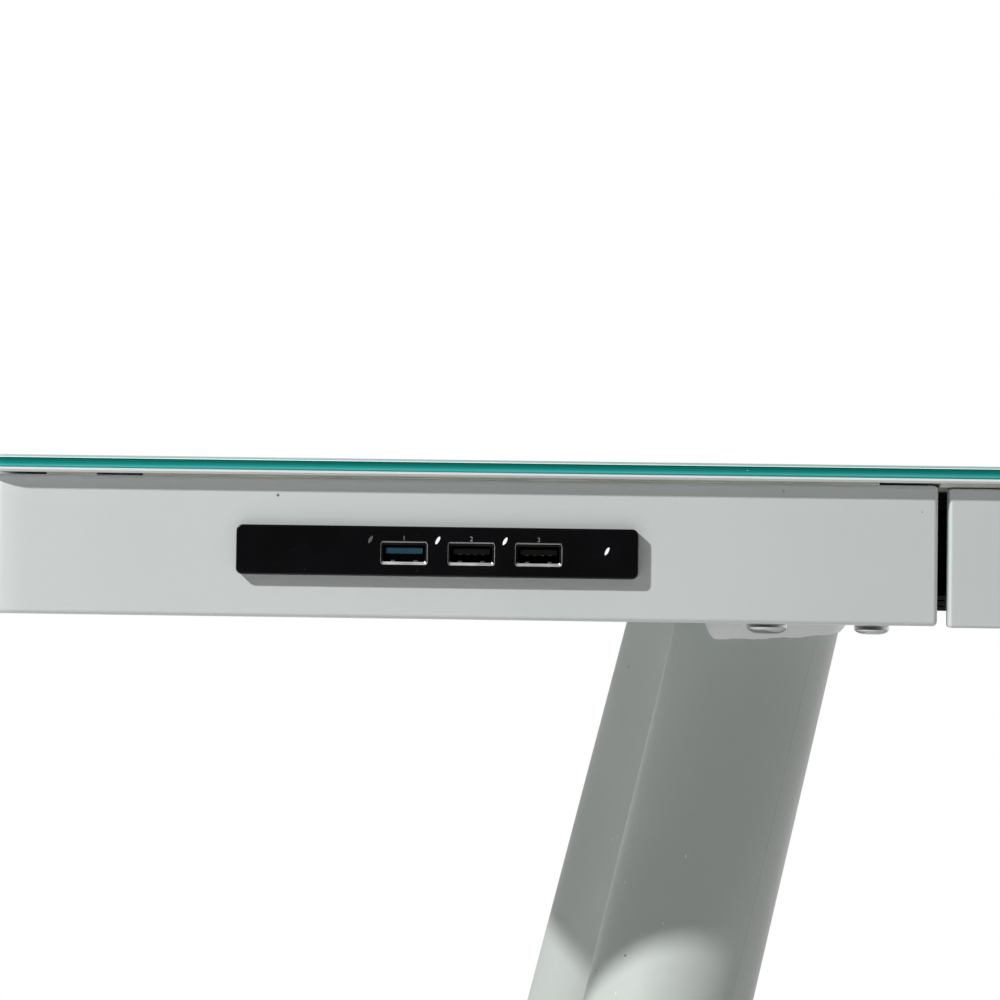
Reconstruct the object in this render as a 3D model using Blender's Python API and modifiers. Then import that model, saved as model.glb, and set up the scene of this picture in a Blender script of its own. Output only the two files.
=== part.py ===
"""Drafting table with a glass top, one wide drawer and a three-port hub in its front apron.

Sizes are millimetres, turned to metres where a mesh is made. X runs to the right, Y away
from the person at the table and Z up, with the origin on the floor under the middle.
"""

import math

import bmesh
import bpy
from mathutils import Matrix, Vector

MM = 0.001

# Fits and mesh quality
CLEARANCE = 0.3
CUT_OVER = 2.0
WELD_OVERLAP = 1.0
LEVEL_TOLERANCE = 0.01
MERGE_DISTANCE = 0.00001
TUBE_SIDES = 40
BEAD_TURN = 0.5
FASTENER_SIDES = 20
ROUND_STEPS = 3
ROUND_PROFILE = 0.5
SHARP_EDGE_DEGREES = 60.0

# Glass top
TOP_HEIGHT = 760.0
GLASS_THICKNESS = 5.0
GLASS_OVERHANG = 5.0
GLASS_CORNER = 10.0
GLASS_ARRIS = 0.8
GLASS_CORNER_STEPS = 8

# Apron of folded steel pans
APRON_WIDTH = 1204.0
APRON_DEPTH = 600.0
APRON_HEIGHT = 41.9
APRON_GAP = 0.6
PAN_DEPTH = 20.0
PAN_WALL = 1.5
PAN_EDGE = 1.5
APRON_CORNER = 4.0
FASCIA_WIDTH = 282.5

# Rails and struts inside the apron
RAIL_WIDTH = 60.0
RAIL_WALL = 2.0
RAIL_BEHIND_FASCIA = 0.5
LUG_WIDTH = 26.0
LUG_THICKNESS = 3.0
LUG_TAIL = 20.0
LUG_FROM_RAIL_FACE = 17.5
TOP_RAIL_THICKNESS = 1.5
TOP_RAIL_DEPTH = 24.0
TOP_RAIL_SETBACK = 6.0
STRUT_WIDTH = 30.0
STRUT_HEIGHT = 20.0

# Pads under the glass
PAD_RADIUS = 10.0
PAD_FROM_TOP_RAIL = 16.0
PAD_COUNT = 3

# Drawer
DRAWER_GAP = 3.3
DRAWER_TOP_GAP = 1.5
DRAWER_DROP = 0.4
DRAWER_FRONT_THICKNESS = 5.0
TRAY_DEPTH = 395.0
TRAY_WALL = 1.2
TRAY_EDGE_GAP = 1.5
RUNNER_WIDTH = 12.5
RUNNER_STEEL = 1.2
RUNNER_PLAY = 0.5
RUNNER_LENGTH = 350.0
RUNNER_MIDDLE_LENGTH = 330.0
RUNNER_SETBACK = 2.0

# Legs
LEG_DIAMETER = 57.0
LEG_WALL = 2.0
LEG_REACH_OUT = 172.7
LEG_REACH_END = 105.8
LEG_FROM_RAIL_MIDDLE = 8.5
LEG_FROM_FRONT = 132.0
LEG_PLATE_WIDTH = 72.0
LEG_PLATE_LENGTH = 112.0
LEG_PLATE_THICKNESS = 5.0
LEG_BEAD_WIDTH = 4.0
LEG_BEAD_HEIGHT = 7.0
LEG_BOLT_FROM_AXIS = 44.0
LEG_BOLT_OUTWARDS = 2.2
FOOT_HEIGHT = 10.0
FOOT_FLANGE = 1.0
FOOT_PLUG_LENGTH = 30.0

# Fasteners: head diameter, head height, shank diameter, shank length under the head
LEG_BOLT_HEAD = 14.0
LEG_BOLT_HEAD_HEIGHT = 4.0
LEG_BOLT_SHANK = 8.0
LEG_BOLT_LENGTH = 16.0
APRON_SCREW_HEAD = 10.4
APRON_SCREW_HEAD_HEIGHT = 2.6
APRON_SCREW_SHANK = 5.0
APRON_SCREW_LENGTH = 7.0
DRAWER_SCREW_HEAD = 6.0
DRAWER_SCREW_HEAD_HEIGHT = 2.2
DRAWER_SCREW_SHANK = 3.0
DRAWER_SCREW_SKIN = 1.7
DRAWER_SCREW_FROM_MIDDLE = 150.0
HUB_SCREW_HEAD = 4.6
HUB_SCREW_HEAD_HEIGHT = 1.4
HUB_SCREW_SHANK = 2.2
HUB_SCREW_BITE = 6.0
SOCKET_SHARE = 0.5
HEAD_CHAMFER_SHARE = 0.25

# Hub
HUB_PROUD = 3.0
HUB_EDGE = 0.8
HUB_EDGE_STEPS = 2
HUB_BORDER = 3.95
HUB_FRONT_WALL = 2.4
HUB_FROM_FASCIA_END = 73.7
HUB_BELOW_MIDDLE = 0.8
HUB_COLLAR_INSET = 4.5
HUB_COLLAR_LIP = 1.5
HUB_COLLAR_WALL = 1.2
HUB_COVER_MARGIN = 1.4
HUB_COVER_WALL = 1.2
HUB_COVER_DEPTH = 16.0
HUB_BOSS_DIAMETER = 5.0
HUB_BOSS_LENGTH = 9.0
HUB_BOSS_FROM_LEFT_END = 15.5
HUB_BOSS_TO_FIRST_PORT = 34.5
HUB_LAST_PORT_TO_BOSS = 13.5
HUB_BOARD_THICKNESS = 1.2
HUB_BOARD_DEPTH = 11.0
PORT_COUNT = 3
PORT_PITCH = 20.0
PORT_BELOW_MIDDLE = 0.6
PORT_LIP_WIDTH = 14.2
PORT_LIP_HEIGHT = 7.0
PORT_LIP_THICKNESS = 0.5
PORT_SHELL_WIDTH = 13.1
PORT_SHELL_HEIGHT = 5.7
PORT_SHELL_WALL = 0.35
PORT_SHELL_DEPTH = 14.0
PORT_RECESS = 0.3
PORT_TONGUE_WIDTH = 11.1
PORT_TONGUE_HEIGHT = 1.84
PORT_TONGUE_FROM_MOUTH = 1.2
PORT_TONGUE_FROM_TOP = 0.7
PORT_BLOCK_DEPTH = 3.0
LAMP_DIAMETER = 1.1
LAMP_PLAY = 0.2
LAMP_LEFT_OF_PORT = 10.0
LAMP_ABOVE_PORT = 0.5
LAMP_BAR = 1.4
POWER_LAMP_FROM_BOSS = 6.8
POWER_LAMP_FROM_END = 9.3
POWER_LAMP_BELOW_LAMPS = 2.6
GLAND_DIAMETER = 4.0
GLAND_FLANGE = 1.2
GLAND_FLANGE_THICKNESS = 1.0
GLAND_BOOT_LENGTH = 3.0
GLAND_LEFT_OF_FIRST_PORT = 15.5
GLAND_ABOVE_MIDDLE = 0.5

# Levels and faces worked out from the sizes above
GLASS_BOTTOM = TOP_HEIGHT - GLASS_THICKNESS
APRON_TOP = GLASS_BOTTOM - APRON_GAP
APRON_BOTTOM = APRON_TOP - APRON_HEIGHT
APRON_MIDDLE = (APRON_TOP + APRON_BOTTOM) / 2
FRONT_FACE = -APRON_DEPTH / 2
END_FACE = APRON_WIDTH / 2
BAY_HALF = END_FACE - FASCIA_WIDTH
PAN_BACK = FRONT_FACE + PAN_DEPTH
RAIL_END = PAN_BACK + CLEARANCE
TOP_RAIL_BOTTOM = APRON_TOP - TOP_RAIL_THICKNESS
TOP_RAIL_BACK = RAIL_END + TOP_RAIL_DEPTH
PAD_REACH = -TOP_RAIL_BACK - PAD_FROM_TOP_RAIL - PAD_RADIUS
PAD_SPACING = 2 * PAD_REACH / (PAD_COUNT - 1)
RAIL_TOP = TOP_RAIL_BOTTOM - CLEARANCE
LUG_BOTTOM = APRON_BOTTOM + PAN_WALL + CLEARANCE
RAIL_BOTTOM = LUG_BOTTOM + LUG_THICKNESS - WELD_OVERLAP
RAIL_INNER = BAY_HALF + RAIL_BEHIND_FASCIA
RAIL_OUTER = RAIL_INNER + RAIL_WIDTH
RAIL_MIDDLE = (RAIL_INNER + RAIL_OUTER) / 2
SCREW_Y = FRONT_FACE + PAN_DEPTH / 2
SCREW_X = RAIL_INNER + LUG_FROM_RAIL_FACE
LEG_X = RAIL_MIDDLE + LEG_FROM_RAIL_MIDDLE
LEG_BOLT_X = LEG_X + LEG_BOLT_OUTWARDS
LEG_Y = -FRONT_FACE - LEG_FROM_FRONT
LEG_LEAN_OUT = LEG_REACH_OUT / APRON_BOTTOM
LEG_LEAN_END = LEG_REACH_END / APRON_BOTTOM
PLATE_TOP = RAIL_BOTTOM - CLEARANCE
PLATE_BOTTOM = PLATE_TOP - LEG_PLATE_THICKNESS
DRAWER_HALF = BAY_HALF - DRAWER_GAP
DRAWER_TOP = GLASS_BOTTOM - DRAWER_TOP_GAP
DRAWER_BOTTOM = APRON_BOTTOM - DRAWER_DROP
TRAY_HALF = RAIL_INNER - RUNNER_WIDTH - 2 * CLEARANCE
TRAY_FRONT = FRONT_FACE + DRAWER_FRONT_THICKNESS + CLEARANCE
TRAY_BOTTOM = RAIL_BOTTOM + CLEARANCE
TRAY_TOP = TOP_RAIL_BOTTOM - TRAY_EDGE_GAP
TRAY_MIDDLE = (TRAY_TOP + TRAY_BOTTOM) / 2
RUNNER_FRONT = RAIL_END + RUNNER_SETBACK
RUNNER_MIDDLE = (RAIL_TOP + RAIL_BOTTOM) / 2
RUNNER_HEIGHT = RAIL_TOP - RAIL_BOTTOM - 2 * CLEARANCE
HUB_LEFT = -END_FACE + HUB_FROM_FASCIA_END
HUB_Z = APRON_MIDDLE - HUB_BELOW_MIDDLE
HUB_HALF_HEIGHT = PORT_LIP_HEIGHT / 2 + HUB_BORDER
HUB_FACE = FRONT_FACE - HUB_PROUD
HUB_BACK = FRONT_FACE - CLEARANCE
LEFT_BOSS_X = HUB_LEFT + HUB_BOSS_FROM_LEFT_END
FIRST_PORT_X = LEFT_BOSS_X + HUB_BOSS_TO_FIRST_PORT
LAST_PORT_X = FIRST_PORT_X + (PORT_COUNT - 1) * PORT_PITCH
RIGHT_BOSS_X = LAST_PORT_X + HUB_LAST_PORT_TO_BOSS
POWER_LAMP_X = RIGHT_BOSS_X + POWER_LAMP_FROM_BOSS
HUB_RIGHT = POWER_LAMP_X + POWER_LAMP_FROM_END
PORT_Z = HUB_Z - PORT_BELOW_MIDDLE
PORT_FACE = HUB_FACE + PORT_RECESS
PORT_BACK = PORT_FACE + PORT_SHELL_DEPTH
LAMP_Z = PORT_Z + PORT_LIP_HEIGHT / 2 + LAMP_ABOVE_PORT
POWER_LAMP_Z = LAMP_Z - POWER_LAMP_BELOW_LAMPS
BOSS_FRONT = HUB_FACE + HUB_FRONT_WALL
BOSS_BACK = BOSS_FRONT + HUB_BOSS_LENGTH
COVER_FRONT = FRONT_FACE + PAN_WALL + CLEARANCE
COVER_BACK = COVER_FRONT + HUB_COVER_DEPTH
COVER_INSIDE_BACK = COVER_BACK - HUB_COVER_WALL
BOARD_TOP = PORT_Z - PORT_SHELL_HEIGHT / 2 - CLEARANCE
BOARD_BOTTOM = BOARD_TOP - HUB_BOARD_THICKNESS
COVER_BOTTOM = BOARD_BOTTOM - CLEARANCE - HUB_COVER_WALL
COVER_TOP = LAMP_Z + LAMP_BAR / 2 + CLEARANCE + HUB_COVER_WALL
ALONG_Y = (math.pi / 2, 0.0, 0.0)

FINISHES = {
    "white_steel": ((0.60, 0.63, 0.62, 1.0), 0.35, 0.0),
    "white_glass": ((0.78, 0.84, 0.82, 1.0), 0.05, 0.0),
    "clear_pad": ((0.75, 0.76, 0.76, 1.0), 0.40, 0.0),
    "black_steel": ((0.02, 0.02, 0.022, 1.0), 0.40, 0.8),
    "charcoal_steel": ((0.05, 0.05, 0.055, 1.0), 0.55, 0.0),
    "bright_steel": ((0.62, 0.63, 0.65, 1.0), 0.25, 1.0),
    "black_plastic": ((0.012, 0.012, 0.014, 1.0), 0.15, 0.0),
    "black_rubber": ((0.02, 0.02, 0.02, 1.0), 0.80, 0.0),
    "blue_plastic": ((0.02, 0.16, 0.45, 1.0), 0.35, 0.0),
    "green_board": ((0.02, 0.16, 0.07, 1.0), 0.50, 0.0),
    "lamp_plastic": ((0.80, 0.84, 0.88, 1.0), 0.20, 0.0),
}

SIDES = (("left", -1), ("right", 1))
ENDS = (("front", -1), ("rear", 1))


def clear_scene():
    """Remove whatever the open file holds."""
    for obj in list(bpy.data.objects):
        bpy.data.objects.remove(obj)


def new_collection(name, hidden=False):
    """A collection in the scene, left out of renders if it holds cutters."""
    collection = bpy.data.collections.new(name)
    bpy.context.scene.collection.children.link(collection)
    collection.hide_render = hidden
    return collection


def new_finish(name):
    """One Principled material from the table of finishes."""
    colour, roughness, metallic = FINISHES[name]
    finish = bpy.data.materials.new(name)
    finish.use_nodes = True
    shader = finish.node_tree.nodes["Principled BSDF"]
    shader.inputs["Base Color"].default_value = colour
    shader.inputs["Roughness"].default_value = roughness
    shader.inputs["Metallic"].default_value = metallic
    return finish


def new_axis(name, location):
    """An empty on a joint's axis, which carries the pieces that move on it."""
    axis = bpy.data.objects.new(name, None)
    axis.location = Vector(location) * MM
    parts.objects.link(axis)
    return axis


def new_object(name, mesh, location, finish, axis=None):
    """A part at a world place, riding on an axis if it has one."""
    obj = bpy.data.objects.new(name, mesh)
    obj.location = Vector(location) * MM
    if finish:
        mesh.materials.append(finishes[finish])
        parts.objects.link(obj)
    else:
        cutters.objects.link(obj)
        obj.hide_render = True
        obj.display_type = "WIRE"
    if axis:
        obj.parent = axis
        obj.location -= axis.location
    return obj


def mesh_of(name, shape):
    """A mesh made from a finished bmesh."""
    mesh = bpy.data.meshes.new(name)
    bmesh.ops.recalc_face_normals(shape, faces=shape.faces)
    shape.to_mesh(mesh)
    shape.free()
    return mesh


def block(name, x, y, z, finish, axis=None, rounds=()):
    """A box between pairs of X, Y and Z, with rounded edges where a rule picks them.

    Each round is a rule on an edge's two ends, in millimetres from the box's middle, a radius
    and a number of steps.
    """
    size = Vector((x[1] - x[0], y[1] - y[0], z[1] - z[0]))
    middle = Vector((x[1] + x[0], y[1] + y[0], z[1] + z[0])) / 2
    shape = bmesh.new()
    bmesh.ops.create_cube(shape, size=1.0)
    bmesh.ops.scale(shape, vec=size * MM, verts=shape.verts)
    for rule, radius, steps in rounds:
        edges = [edge for edge in shape.edges if rule(*(vert.co / MM for vert in edge.verts))]
        bmesh.ops.bevel(
            shape,
            geom=edges,
            offset=radius * MM,
            segments=steps,
            profile=ROUND_PROFILE,
            affect="EDGES",
        )
    return new_object(name, mesh_of(name, shape), middle, finish, axis)


def turned(name, profile, location, finish, axis=None, turn=None):
    """A round piece: a profile of radius and height pairs turned about Z, then tipped over."""
    mesh = bpy.data.meshes.new(name)
    points = [(radius * MM, 0.0, height * MM) for radius, height in profile]
    mesh.from_pydata(points, [(i, i + 1) for i in range(len(points) - 1)], [])
    obj = new_object(name, mesh, location, finish, axis)
    obj.rotation_euler = turn or (0.0, 0.0, 0.0)
    screw = obj.modifiers.new("turn", "SCREW")
    screw.steps = FASTENER_SIDES
    screw.render_steps = FASTENER_SIDES
    screw.use_merge_vertices = True
    screw.merge_threshold = MERGE_DISTANCE
    screw.use_normal_flip = True
    screw.use_smooth_shade = False
    return obj


def combine(obj, other, operation):
    """Join or cut with another object, in the order of the calls."""
    step = obj.modifiers.new(other.name, "BOOLEAN")
    step.object = other
    step.operation = operation
    step.solver = "EXACT"


def cut(obj, cutter):
    """Cut one shape out of a part."""
    combine(obj, cutter, "DIFFERENCE")


def join(obj, other):
    """Weld one shape to a part."""
    combine(obj, other, "UNION")


def round_hole(obj, name, diameter, location, length, turn=None, axis=None):
    """Drill a hole about a place, along Z or tipped over."""
    half = length / 2
    radius = diameter / 2
    profile = [(0, -half), (radius, -half), (radius, half), (0, half)]
    cut(obj, turned(name, profile, location, None, axis, turn))


def fastener(name, head, head_height, shank, length, location, axis=None, turn=None):
    """A pan-headed bolt: its head hangs below the origin and its shank rises from it."""
    socket = head * SOCKET_SHARE / 2
    depth = head_height * SOCKET_SHARE
    chamfer = head_height * HEAD_CHAMFER_SHARE
    profile = [
        (0, depth - head_height),
        (socket, depth - head_height),
        (socket, -head_height),
        (head / 2 - chamfer, -head_height),
        (head / 2, chamfer - head_height),
        (head / 2, 0),
        (shank / 2, 0),
        (shank / 2, length),
        (0, length),
    ]
    return turned(name, profile, location, "bright_steel", axis, turn)


def spread(middle, half):
    """The pair of ends about a middle."""
    return (middle - half, middle + half)


def sided(side, near, far):
    """A pair of X values on one side of the table, in rising order."""
    return tuple(sorted((side * near, side * far)))


def along_z(a, b):
    """Whether an edge stands upright."""
    return a.x == b.x and a.y == b.y


def add_glass():
    """The glass sheet with rounded corners and a ground arris all round."""
    half_width = END_FACE + GLASS_OVERHANG
    half_depth = -FRONT_FACE + GLASS_OVERHANG
    glass = block(
        "glass_top",
        spread(0, half_width),
        spread(0, half_depth),
        (GLASS_BOTTOM, TOP_HEIGHT),
        "white_glass",
        rounds=[(along_z, GLASS_CORNER, GLASS_CORNER_STEPS)],
    )
    arris = glass.modifiers.new("arris", "BEVEL")
    arris.width = GLASS_ARRIS * MM
    arris.segments = 1
    arris.angle_limit = math.radians(SHARP_EDGE_DEGREES)


def add_pads():
    """Clear pads on the leg rails that the glass lies on."""
    thickness = GLASS_BOTTOM - RAIL_TOP - 2 * CLEARANCE
    for name, side in SIDES:
        for i in range(PAD_COUNT):
            y = (i - (PAD_COUNT - 1) / 2) * PAD_SPACING
            turned(
                f"glass_pad_{name}_{i + 1}",
                [(0, 0), (PAD_RADIUS, 0), (PAD_RADIUS, thickness), (0, thickness)],
                (side * RAIL_MIDDLE, y, RAIL_TOP + CLEARANCE),
                "clear_pad",
            )


def pan(name, x, y, z, hollow, rounds):
    """A folded steel pan: a rounded box, hollowed out from one open side."""
    obj = block(name, x, y, z, "white_steel", rounds=rounds)
    cut(obj, block(f"{name}_hollow", *hollow, None))
    return obj


def level_rim(a, b):
    """Whether an edge runs round the top or the bottom of a piece."""
    return abs(a.z - b.z) < LEVEL_TOLERANCE


def add_fascias():
    """The two front panels, with their outer corner, soft edges and fixing holes."""
    half_depth = PAN_DEPTH / 2

    for name, side in SIDES:

        def outer_corner(a, b, side=side):
            return along_z(a, b) and a.y < 0 and a.x * side > 0

        def soft_edge(a, b, side=side):
            if level_rim(a, b):
                return min(a.y, b.y) < half_depth - LEVEL_TOLERANCE
            return along_z(a, b) and a.y < 0 and a.x * side < 0

        x = sided(side, BAY_HALF, END_FACE)
        fascia = pan(
            f"{name}_fascia",
            x,
            (FRONT_FACE, PAN_BACK),
            (APRON_BOTTOM, APRON_TOP),
            (
                (x[0] + PAN_WALL, x[1] - PAN_WALL),
                (FRONT_FACE + PAN_WALL, PAN_BACK + CUT_OVER),
                (APRON_BOTTOM + PAN_WALL, APRON_TOP - PAN_WALL),
            ),
            [(outer_corner, APRON_CORNER, ROUND_STEPS), (soft_edge, PAN_EDGE, ROUND_STEPS)],
        )
        drill_apron(fascia, side, -1)
        if side < 0:
            cut_hub_slot(fascia)


def drill_apron(obj, side, end):
    """The hole that an apron screw goes up through."""
    round_hole(
        obj,
        f"{obj.name}_screw_hole_{side}",
        APRON_SCREW_SHANK + 2 * CLEARANCE,
        (side * SCREW_X, -end * SCREW_Y, LUG_BOTTOM),
        2 * (LUG_THICKNESS + PAN_WALL + CLEARANCE),
    )


def cut_hub_slot(fascia):
    """The slot that the hub's collar passes through."""
    slot = block(
        "hub_slot",
        (HUB_LEFT + HUB_COLLAR_INSET - CLEARANCE, HUB_RIGHT - HUB_COLLAR_INSET + CLEARANCE),
        (FRONT_FACE - CUT_OVER, FRONT_FACE + PAN_WALL + CUT_OVER),
        spread(HUB_Z, HUB_HALF_HEIGHT - HUB_COLLAR_LIP + CLEARANCE),
        None,
    )
    cut(fascia, slot)


def add_rear_apron():
    """The rear panel, as wide as the table."""
    half_depth = PAN_DEPTH / 2

    def corner(a, b):
        return along_z(a, b) and a.y > 0

    def soft_edge(a, b):
        return level_rim(a, b) and max(a.y, b.y) > LEVEL_TOLERANCE - half_depth

    apron = pan(
        "rear_apron",
        spread(0, END_FACE),
        (-PAN_BACK, -FRONT_FACE),
        (APRON_BOTTOM, APRON_TOP),
        (
            spread(0, END_FACE - PAN_WALL),
            (-PAN_BACK - CUT_OVER, -FRONT_FACE - PAN_WALL),
            (APRON_BOTTOM + PAN_WALL, APRON_TOP - PAN_WALL),
        ),
        [(corner, APRON_CORNER, ROUND_STEPS), (soft_edge, PAN_EDGE, ROUND_STEPS)],
    )
    for _, side in SIDES:
        drill_apron(apron, side, 1)


def add_side_aprons():
    """The side panels between the fascias and the rear apron."""
    for name, side in SIDES:

        def soft_edge(a, b, side=side):
            return level_rim(a, b) and a.x * side > 0 and b.x * side > 0

        pan(
            f"{name}_side_apron",
            sided(side, END_FACE - PAN_DEPTH, END_FACE),
            spread(0, -RAIL_END),
            (APRON_BOTTOM, APRON_TOP),
            (
                sided(side, END_FACE - PAN_DEPTH - CUT_OVER, END_FACE - PAN_WALL),
                spread(0, -RAIL_END - PAN_WALL),
                (APRON_BOTTOM + PAN_WALL, APRON_TOP - PAN_WALL),
            ),
            [(soft_edge, PAN_EDGE, ROUND_STEPS)],
        )


def add_leg_rails():
    """Two square tubes from front to rear, with welded lugs that the aprons screw to."""
    for name, side in SIDES:
        rail = block(
            f"{name}_leg_rail",
            sided(side, RAIL_INNER, RAIL_OUTER),
            spread(0, -RAIL_END),
            (RAIL_BOTTOM, RAIL_TOP),
            "white_steel",
        )
        bore = block(
            f"{name}_leg_rail_bore",
            sided(side, RAIL_INNER + RAIL_WALL, RAIL_OUTER - RAIL_WALL),
            spread(0, -RAIL_END + CUT_OVER),
            (RAIL_BOTTOM + RAIL_WALL, RAIL_TOP - RAIL_WALL),
            None,
        )
        cut(rail, bore)
        for end_name, end in ENDS:
            lug_reach = -FRONT_FACE - PAN_WALL - CLEARANCE
            lug = block(
                f"{name}_{end_name}_lug",
                spread(side * SCREW_X, LUG_WIDTH / 2),
                sided(end, -RAIL_END - LUG_TAIL, lug_reach),
                (LUG_BOTTOM, LUG_BOTTOM + LUG_THICKNESS),
                None,
            )
            join(rail, lug)
            drill_apron(rail, side, end)
            for bolt_name, bolt_y in leg_bolt_places(end):
                round_hole(
                    rail,
                    f"{name}_{end_name}_{bolt_name}_rail_hole",
                    LEG_BOLT_SHANK + 2 * CLEARANCE,
                    (side * LEG_BOLT_X, bolt_y, RAIL_BOTTOM),
                    2 * (RAIL_WALL + CUT_OVER),
                )


def leg_bolt_places(end):
    """The name and the Y of each bolt of a leg."""
    return [(name, end * LEG_Y + step * LEG_BOLT_FROM_AXIS) for name, step in ENDS]


def add_top_rail():
    """The flat rail across the drawer's opening, tucked under the glass."""
    rail = block(
        "front_top_rail",
        spread(0, RAIL_OUTER - RAIL_WALL),
        (FRONT_FACE + TOP_RAIL_SETBACK, TOP_RAIL_BACK),
        (TOP_RAIL_BOTTOM, APRON_TOP),
        "white_steel",
    )
    for name, side in SIDES:
        notch = block(
            f"{name}_top_rail_notch",
            sided(side, BAY_HALF - 2 * CLEARANCE, RAIL_OUTER + CUT_OVER),
            (FRONT_FACE - CUT_OVER, RAIL_END),
            (TOP_RAIL_BOTTOM - CUT_OVER, APRON_TOP + CUT_OVER),
            None,
        )
        cut(rail, notch)


def add_struts():
    """Tubes that carry the side aprons from the leg rails."""
    for name, side in SIDES:
        strut = block(
            f"{name}_side_strut",
            sided(side, RAIL_OUTER + CLEARANCE, END_FACE - PAN_WALL - CLEARANCE),
            spread(0, STRUT_WIDTH / 2),
            spread(APRON_MIDDLE, STRUT_HEIGHT / 2),
            "white_steel",
        )
        bore = block(
            f"{name}_side_strut_bore",
            sided(side, RAIL_OUTER - CUT_OVER, END_FACE + CUT_OVER),
            spread(0, STRUT_WIDTH / 2 - RAIL_WALL),
            spread(APRON_MIDDLE, STRUT_HEIGHT / 2 - RAIL_WALL),
            None,
        )
        cut(strut, bore)


def channel(name, side, x, length, half, hollow_x, finish, axis=None):
    """A runner member: a bar hollowed out into a channel."""
    y = (RUNNER_FRONT, RUNNER_FRONT + length)
    member = block(name, sided(side, *x), y, spread(RUNNER_MIDDLE, half), finish, axis)
    hollow = block(
        f"{name}_hollow",
        sided(side, *hollow_x),
        (y[0] - CUT_OVER, y[1] + CUT_OVER),
        spread(RUNNER_MIDDLE, half - RUNNER_STEEL),
        None,
        axis,
    )
    cut(member, hollow)


def add_runners(drawer_axis, middle_axis):
    """Three nested channels on each side of the drawer."""
    web = TRAY_HALF + CLEARANCE
    middle_inner = web + RUNNER_STEEL + CLEARANCE
    cabinet_inner = middle_inner + RUNNER_PLAY
    cabinet_outer = RAIL_INNER - CLEARANCE
    middle_outer = cabinet_outer - RUNNER_STEEL - CLEARANCE
    drawer_outer = middle_outer - RUNNER_STEEL - CLEARANCE
    cabinet_half = RUNNER_HEIGHT / 2
    middle_half = cabinet_half - RUNNER_STEEL - RUNNER_PLAY
    drawer_half = middle_half - RUNNER_STEEL - RUNNER_PLAY
    for name, side in SIDES:
        channel(
            f"{name}_runner_cabinet",
            side,
            (cabinet_inner, cabinet_outer),
            RUNNER_LENGTH,
            cabinet_half,
            (cabinet_inner - CUT_OVER, cabinet_outer - RUNNER_STEEL),
            "black_steel",
        )
        channel(
            f"{name}_runner_middle",
            side,
            (middle_inner, middle_outer),
            RUNNER_MIDDLE_LENGTH,
            middle_half,
            (middle_inner - CUT_OVER, middle_outer - RUNNER_STEEL),
            "black_steel",
            middle_axis,
        )
        channel(
            f"{name}_runner_drawer",
            side,
            (web, drawer_outer),
            RUNNER_LENGTH,
            drawer_half,
            (web + RUNNER_STEEL, drawer_outer + CUT_OVER),
            "black_steel",
            drawer_axis,
        )


def add_drawer(axis):
    """The drawer's front, its tray and the screws that hold them together."""

    def front_edge(a, b):
        return a.y < 0 or b.y < 0

    front_back = FRONT_FACE + DRAWER_FRONT_THICKNESS
    front = block(
        "drawer_front",
        spread(0, DRAWER_HALF),
        (FRONT_FACE, front_back),
        (DRAWER_BOTTOM, DRAWER_TOP),
        "white_steel",
        axis,
        [(front_edge, PAN_EDGE, ROUND_STEPS)],
    )
    tray_back = TRAY_FRONT + TRAY_DEPTH
    tray = block(
        "drawer_tray",
        spread(0, TRAY_HALF),
        (TRAY_FRONT, tray_back),
        (TRAY_BOTTOM, TRAY_TOP),
        "charcoal_steel",
        axis,
    )
    hollow = block(
        "drawer_tray_hollow",
        spread(0, TRAY_HALF - TRAY_WALL),
        (TRAY_FRONT + TRAY_WALL, tray_back - TRAY_WALL),
        (TRAY_BOTTOM + TRAY_WALL, TRAY_TOP + CUT_OVER),
        None,
        axis,
    )
    cut(tray, hollow)
    hole = DRAWER_SCREW_SHANK + 2 * CLEARANCE
    bite = DRAWER_FRONT_THICKNESS - DRAWER_SCREW_SKIN - CLEARANCE
    head_y = TRAY_FRONT + TRAY_WALL + CLEARANCE
    for name, side in SIDES:
        x = side * DRAWER_SCREW_FROM_MIDDLE
        fastener(
            f"drawer_screw_{name}",
            DRAWER_SCREW_HEAD,
            DRAWER_SCREW_HEAD_HEIGHT,
            DRAWER_SCREW_SHANK,
            head_y - front_back + bite,
            (x, head_y, TRAY_MIDDLE),
            axis,
            ALONG_Y,
        )
        place = (x, front_back, TRAY_MIDDLE)
        round_hole(front, f"drawer_front_hole_{name}", hole, place, 2 * (bite + CLEARANCE), ALONG_Y, axis)
        place = (x, TRAY_FRONT, TRAY_MIDDLE)
        round_hole(tray, f"drawer_tray_hole_{name}", hole, place, 2 * (TRAY_WALL + CUT_OVER), ALONG_Y, axis)


def leaning(name, side, end, z, radii, finish, steps_turned=0.0):
    """A round bar on a leg's axis between two levels: upright, then sheared so that it leans
    outwards, and stretched along its lean so that it is round across its own axis. A bead is
    turned by part of a step, so that its edges never run along those of the tube."""
    run = Vector((side * LEG_LEAN_OUT, end * LEG_LEAN_END, 0.0))
    turn = Matrix.Rotation(steps_turned * 2 * math.pi / TUBE_SIDES, 4, "Z")
    stretch = Matrix.Scale(math.sqrt(1.0 + run.length_squared), 4, run.normalized())
    shear = Matrix.Identity(4)
    shear[0][2] = -run.x
    shear[1][2] = -run.y
    bottom, top = (level - APRON_BOTTOM for level in z)
    shape = bmesh.new()
    bmesh.ops.create_cone(
        shape,
        cap_ends=True,
        segments=TUBE_SIDES,
        radius1=radii[0] * MM,
        radius2=radii[1] * MM,
        depth=(top - bottom) * MM,
        matrix=Matrix.Translation((0.0, 0.0, (top + bottom) / 2 * MM)) @ turn,
    )
    bmesh.ops.transform(shape, matrix=shear @ stretch, verts=shape.verts)
    place = (side * LEG_X, end * LEG_Y, APRON_BOTTOM)
    return new_object(name, mesh_of(name, shape), place, finish)


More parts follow.
